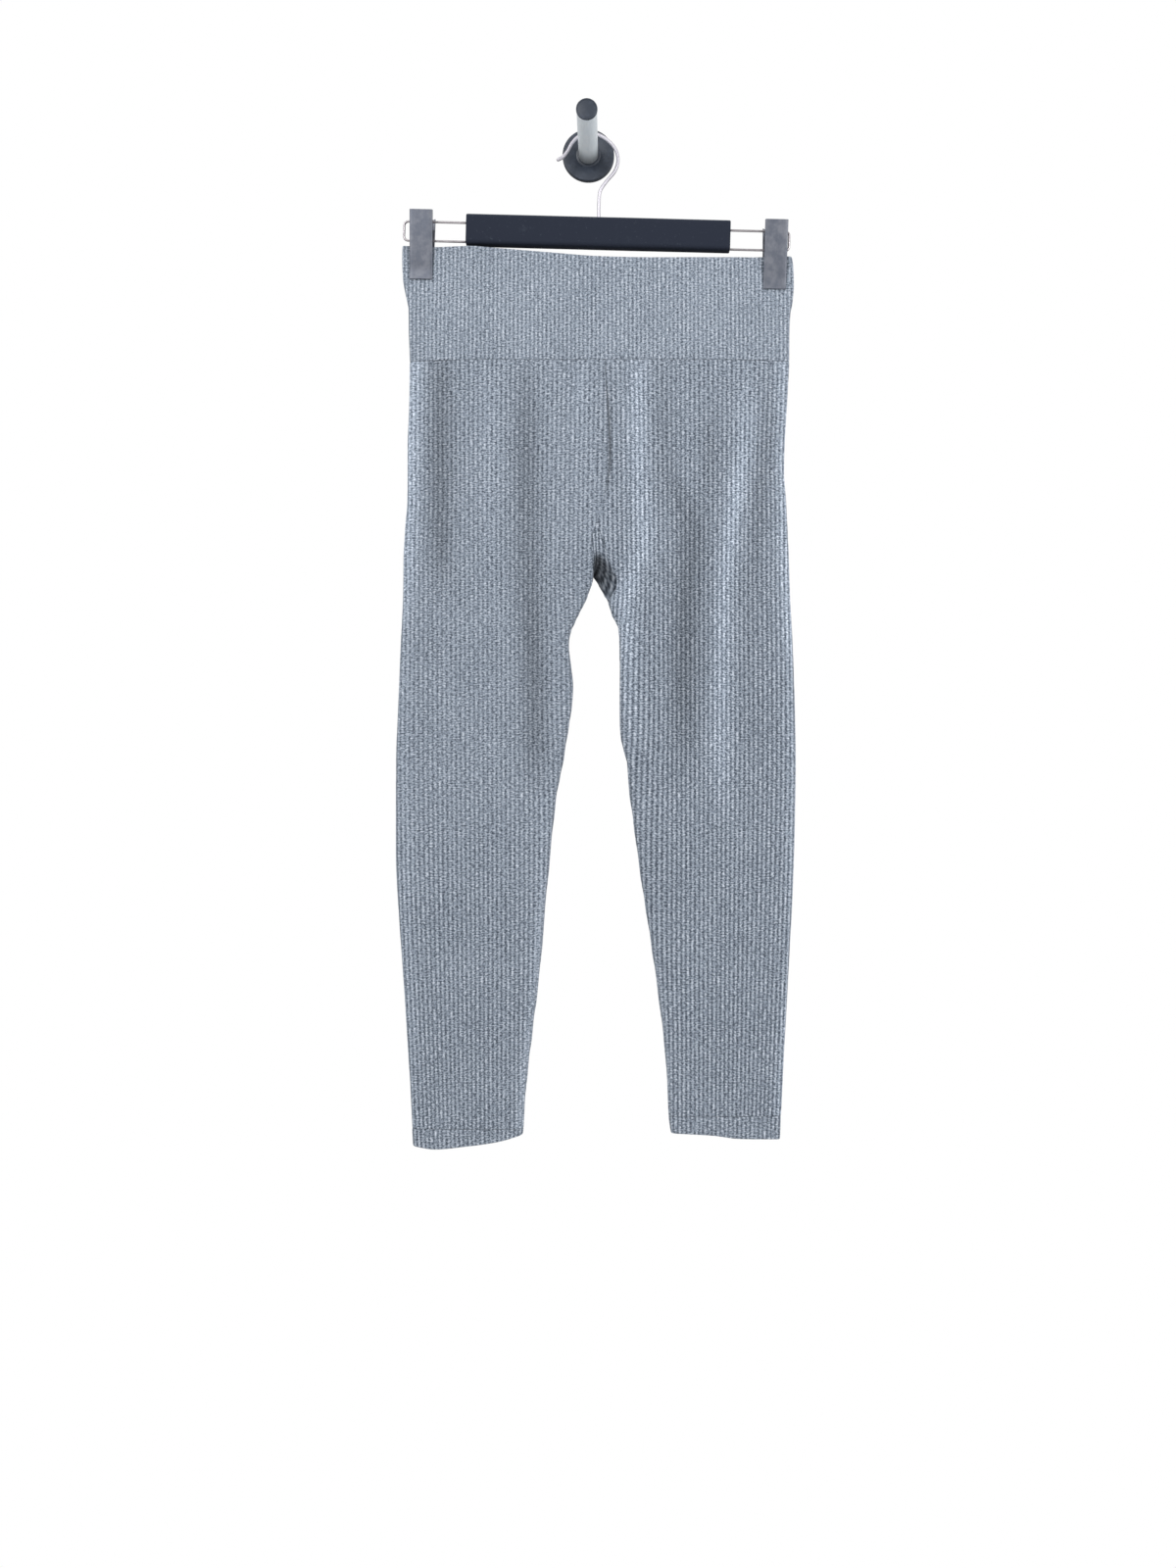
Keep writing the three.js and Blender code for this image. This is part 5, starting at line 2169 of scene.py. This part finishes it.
@dataclass
class WallPeg:
    """Bright rod on a round black plate, with a black end cap."""

    sides: int = 96
    plate_radius: float = 26.8
    plate_thickness: float = 5.0
    plate_round: float = 1.0
    rod_radius: float = 10.0
    rod_front: float = -93.0
    cap_radius: float = 10.4
    cap_thickness: float = 1.8
    cap_round: float = 0.6

    def rounded(self, radius: float, front: float, size: float) -> list[tuple[float, float]]:
        """Rounded front edge of a disc, as radius and y."""
        arc = np.linspace(QUARTER, 0, 7)
        return [(radius - size * (1 - math.cos(a)), front + size * (1 - math.sin(a))) for a in arc]

    def build(self) -> list[Piece]:
        """Build and dress the plate, rod and cap.

        Returns:
            The plate, the rod and the cap.
        """
        black, chrome = BlackFinish().make(), PEG_CHROME.make()
        front = -self.plate_thickness
        plate = Sculpt("round_wall_plate")
        groove = self.rod_radius + 2.2
        face = [(0.01, front), (self.rod_radius - 1.0, front), (groove, front)]
        face += [(groove + 0.5, front + 0.25), (groove + 1.0, front)]
        rim = self.rounded(self.plate_radius, front, self.plate_round)
        plate.turned([*face, *rim, (self.plate_radius, 0.0), (0.01, 0.0)], self.sides)
        rod = Sculpt("peg_rod_bright")
        back = front - SEAM_GAP
        rod.turned(
            [(0.01, self.rod_front), (self.rod_radius - 0.4, self.rod_front),
             (self.rod_radius, self.rod_front + 0.4), (self.rod_radius, -60.0), (self.rod_radius, -30.0),
             (self.rod_radius, back - 0.3), (self.rod_radius - 0.3, back), (0.01, back)],
            self.sides,
        )
        cap = Sculpt("peg_end_cap")
        cap_back = self.rod_front - SEAM_GAP
        cap_front = cap_back - self.cap_thickness
        ring = self.cap_radius - 1.7
        face = [(0.01, cap_front + 0.12), (ring - 0.5, cap_front + 0.22), (ring, cap_front + 0.35)]
        face.append((ring + 0.35, cap_front))
        rim = self.rounded(self.cap_radius, cap_front, self.cap_round)
        cap.turned([*face, *rim, (self.cap_radius, cap_back), (0.01, cap_back)], self.sides)
        return [
            dress(plate.finish(sharp_degrees=30.0), black, Slot.BLACK, "peg_plate"),
            dress(rod.finish(sharp_degrees=30.0), chrome, Slot.CHROME, "peg_rod"),
            dress(cap.finish(sharp_degrees=30.0), black, Slot.BLACK, "peg_cap"),
        ]


@dataclass(frozen=True)
class Lamp:
    """Soft square light: where it stands, what it faces, its side in metres and its power in watts."""

    name: str
    place: tuple[float, float, float]
    target: tuple[float, float, float]
    size: float
    power: float


@dataclass
class Studio:
    """Camera at the photo's angle, white surroundings, soft lights and a pale floor."""

    eye: tuple[float, float, float] = (0.023, -1.325, -0.652)
    shift: float = -0.014375
    lens: float = 29.25
    sensor: float = 36.0
    backdrop: float = 1.0
    fill: float = 0.62
    ground_fill: float = 0.22
    floor_z: float = -1.75
    floor_x: float = 3.0
    floor_y: tuple[float, float] = (-4.0, 0.25)
    lamps: tuple[Lamp, ...] = (
        Lamp("key", (-1.2, -2.0, 0.8), (0.0, 0.0, -0.5), 1.1, 29.5),
        Lamp("side", (1.5, -1.7, 0.3), (0.0, 0.0, -0.55), 1.1, 24.0),
    )

    def camera(self) -> None:
        """Place the level camera."""
        lens = bpy.data.cameras.new("camera")
        lens.lens = self.lens
        lens.sensor_width = self.sensor
        lens.shift_x = self.shift
        lens.clip_start = 0.02
        lens.clip_end = 50.0
        eye = bpy.data.objects.new("camera", lens)
        eye.location = self.eye
        eye.rotation_euler = (QUARTER, 0.0, 0.0)
        bpy.context.scene.collection.objects.link(eye)
        bpy.context.scene.camera = eye

    def light(self, lamp: Lamp) -> None:
        """Place a light.

        Args:
            lamp: The light's place and strength.
        """
        light = bpy.data.lights.new(lamp.name, "AREA")
        light.size = lamp.size
        light.energy = lamp.power
        holder = bpy.data.objects.new(lamp.name, light)
        holder.location = lamp.place
        aim = Vector(lamp.target) - Vector(lamp.place)
        holder.rotation_euler = aim.to_track_quat("-Z", "Y").to_euler()
        bpy.context.scene.collection.objects.link(holder)

    def surroundings(self) -> None:
        """White to the camera, and a softer white that falls off below to everything else."""
        world = bpy.data.worlds.new("white_room")
        bpy.context.scene.world = world
        world.use_nodes = True
        tree = world.node_tree
        tree.nodes.clear()
        place = tree.nodes.new("ShaderNodeTexCoord")
        split = tree.nodes.new("ShaderNodeSeparateXYZ")
        spread = tree.nodes.new("ShaderNodeMapRange")
        seen = tree.nodes.new("ShaderNodeBackground")
        lit = tree.nodes.new("ShaderNodeBackground")
        path = tree.nodes.new("ShaderNodeLightPath")
        mix = tree.nodes.new("ShaderNodeMixShader")
        output = tree.nodes.new("ShaderNodeOutputWorld")
        spread.inputs["From Min"].default_value = -0.6
        spread.inputs["From Max"].default_value = 0.5
        spread.inputs["To Min"].default_value = self.ground_fill
        spread.inputs["To Max"].default_value = self.fill
        seen.inputs["Strength"].default_value = self.backdrop
        for node in (seen, lit):
            node.inputs["Color"].default_value = (1.0, 1.0, 1.0, 1.0)
        links = (
            (place.outputs["Generated"], split.inputs[0]),
            (split.outputs["Z"], spread.inputs["Value"]),
            (spread.outputs[0], lit.inputs["Strength"]),
            (path.outputs["Is Camera Ray"], mix.inputs[0]),
            (lit.outputs[0], mix.inputs[1]),
            (seen.outputs[0], mix.inputs[2]),
            (mix.outputs[0], output.inputs["Surface"]),
        )
        for start, end in links:
            tree.links.new(start, end)

    def floor(self) -> None:
        """Pale floor, below and in front of what the photo's frame shows."""
        near, far = self.floor_y
        corners = [(-self.floor_x, near), (self.floor_x, near), (self.floor_x, far), (-self.floor_x, far)]
        mesh = bpy.data.meshes.new("floor")
        mesh.from_pydata([(x, y, self.floor_z) for x, y in corners], [], [(0, 1, 2, 3)])
        s = Shading("pale_floor")
        grain = s.noise(s.object_place(), 3.0, 3.0)
        s.set(Base_Color=s.mix(grain, (0.80, 0.80, 0.80), (0.84, 0.84, 0.84)), Roughness=0.9)
        mesh.materials.append(s.material)
        ground = bpy.data.objects.new("floor", mesh)
        bpy.context.scene.collection.objects.link(ground)

    def build(self) -> None:
        """Set up the whole studio."""
        self.camera()
        self.surroundings()
        self.floor()
        for lamp in self.lamps:
            self.light(lamp)
        bpy.context.scene.view_settings.view_transform = "Standard"


def main() -> None:
    """Build every sub-assembly in order and report its pieces."""
    Studio().build()
    steel, wire = CLIP_STEEL.make(), WIRE_STEEL.make()
    peg = WallPeg().build()
    hanger = [*BarHanger().build(), Hook().build()]
    clips = [
        *SpringClip("left", -168.6, -71.0, 1.2).build(steel, wire),
        *SpringClip("right", 191.3, -81.1, 1.2).build(steel, wire),
    ]
    garment = Leggings().build([piece for piece in clips if piece.name.endswith("_plate")])
    for group, pieces in (("peg", peg), ("hanger", hanger), ("clips", clips), ("leggings", garment)):
        for piece in pieces:
            log.info("%s: %s has %d faces", group, piece.name, len(piece.data.polygons))


if __name__ == "__main__":
    main()
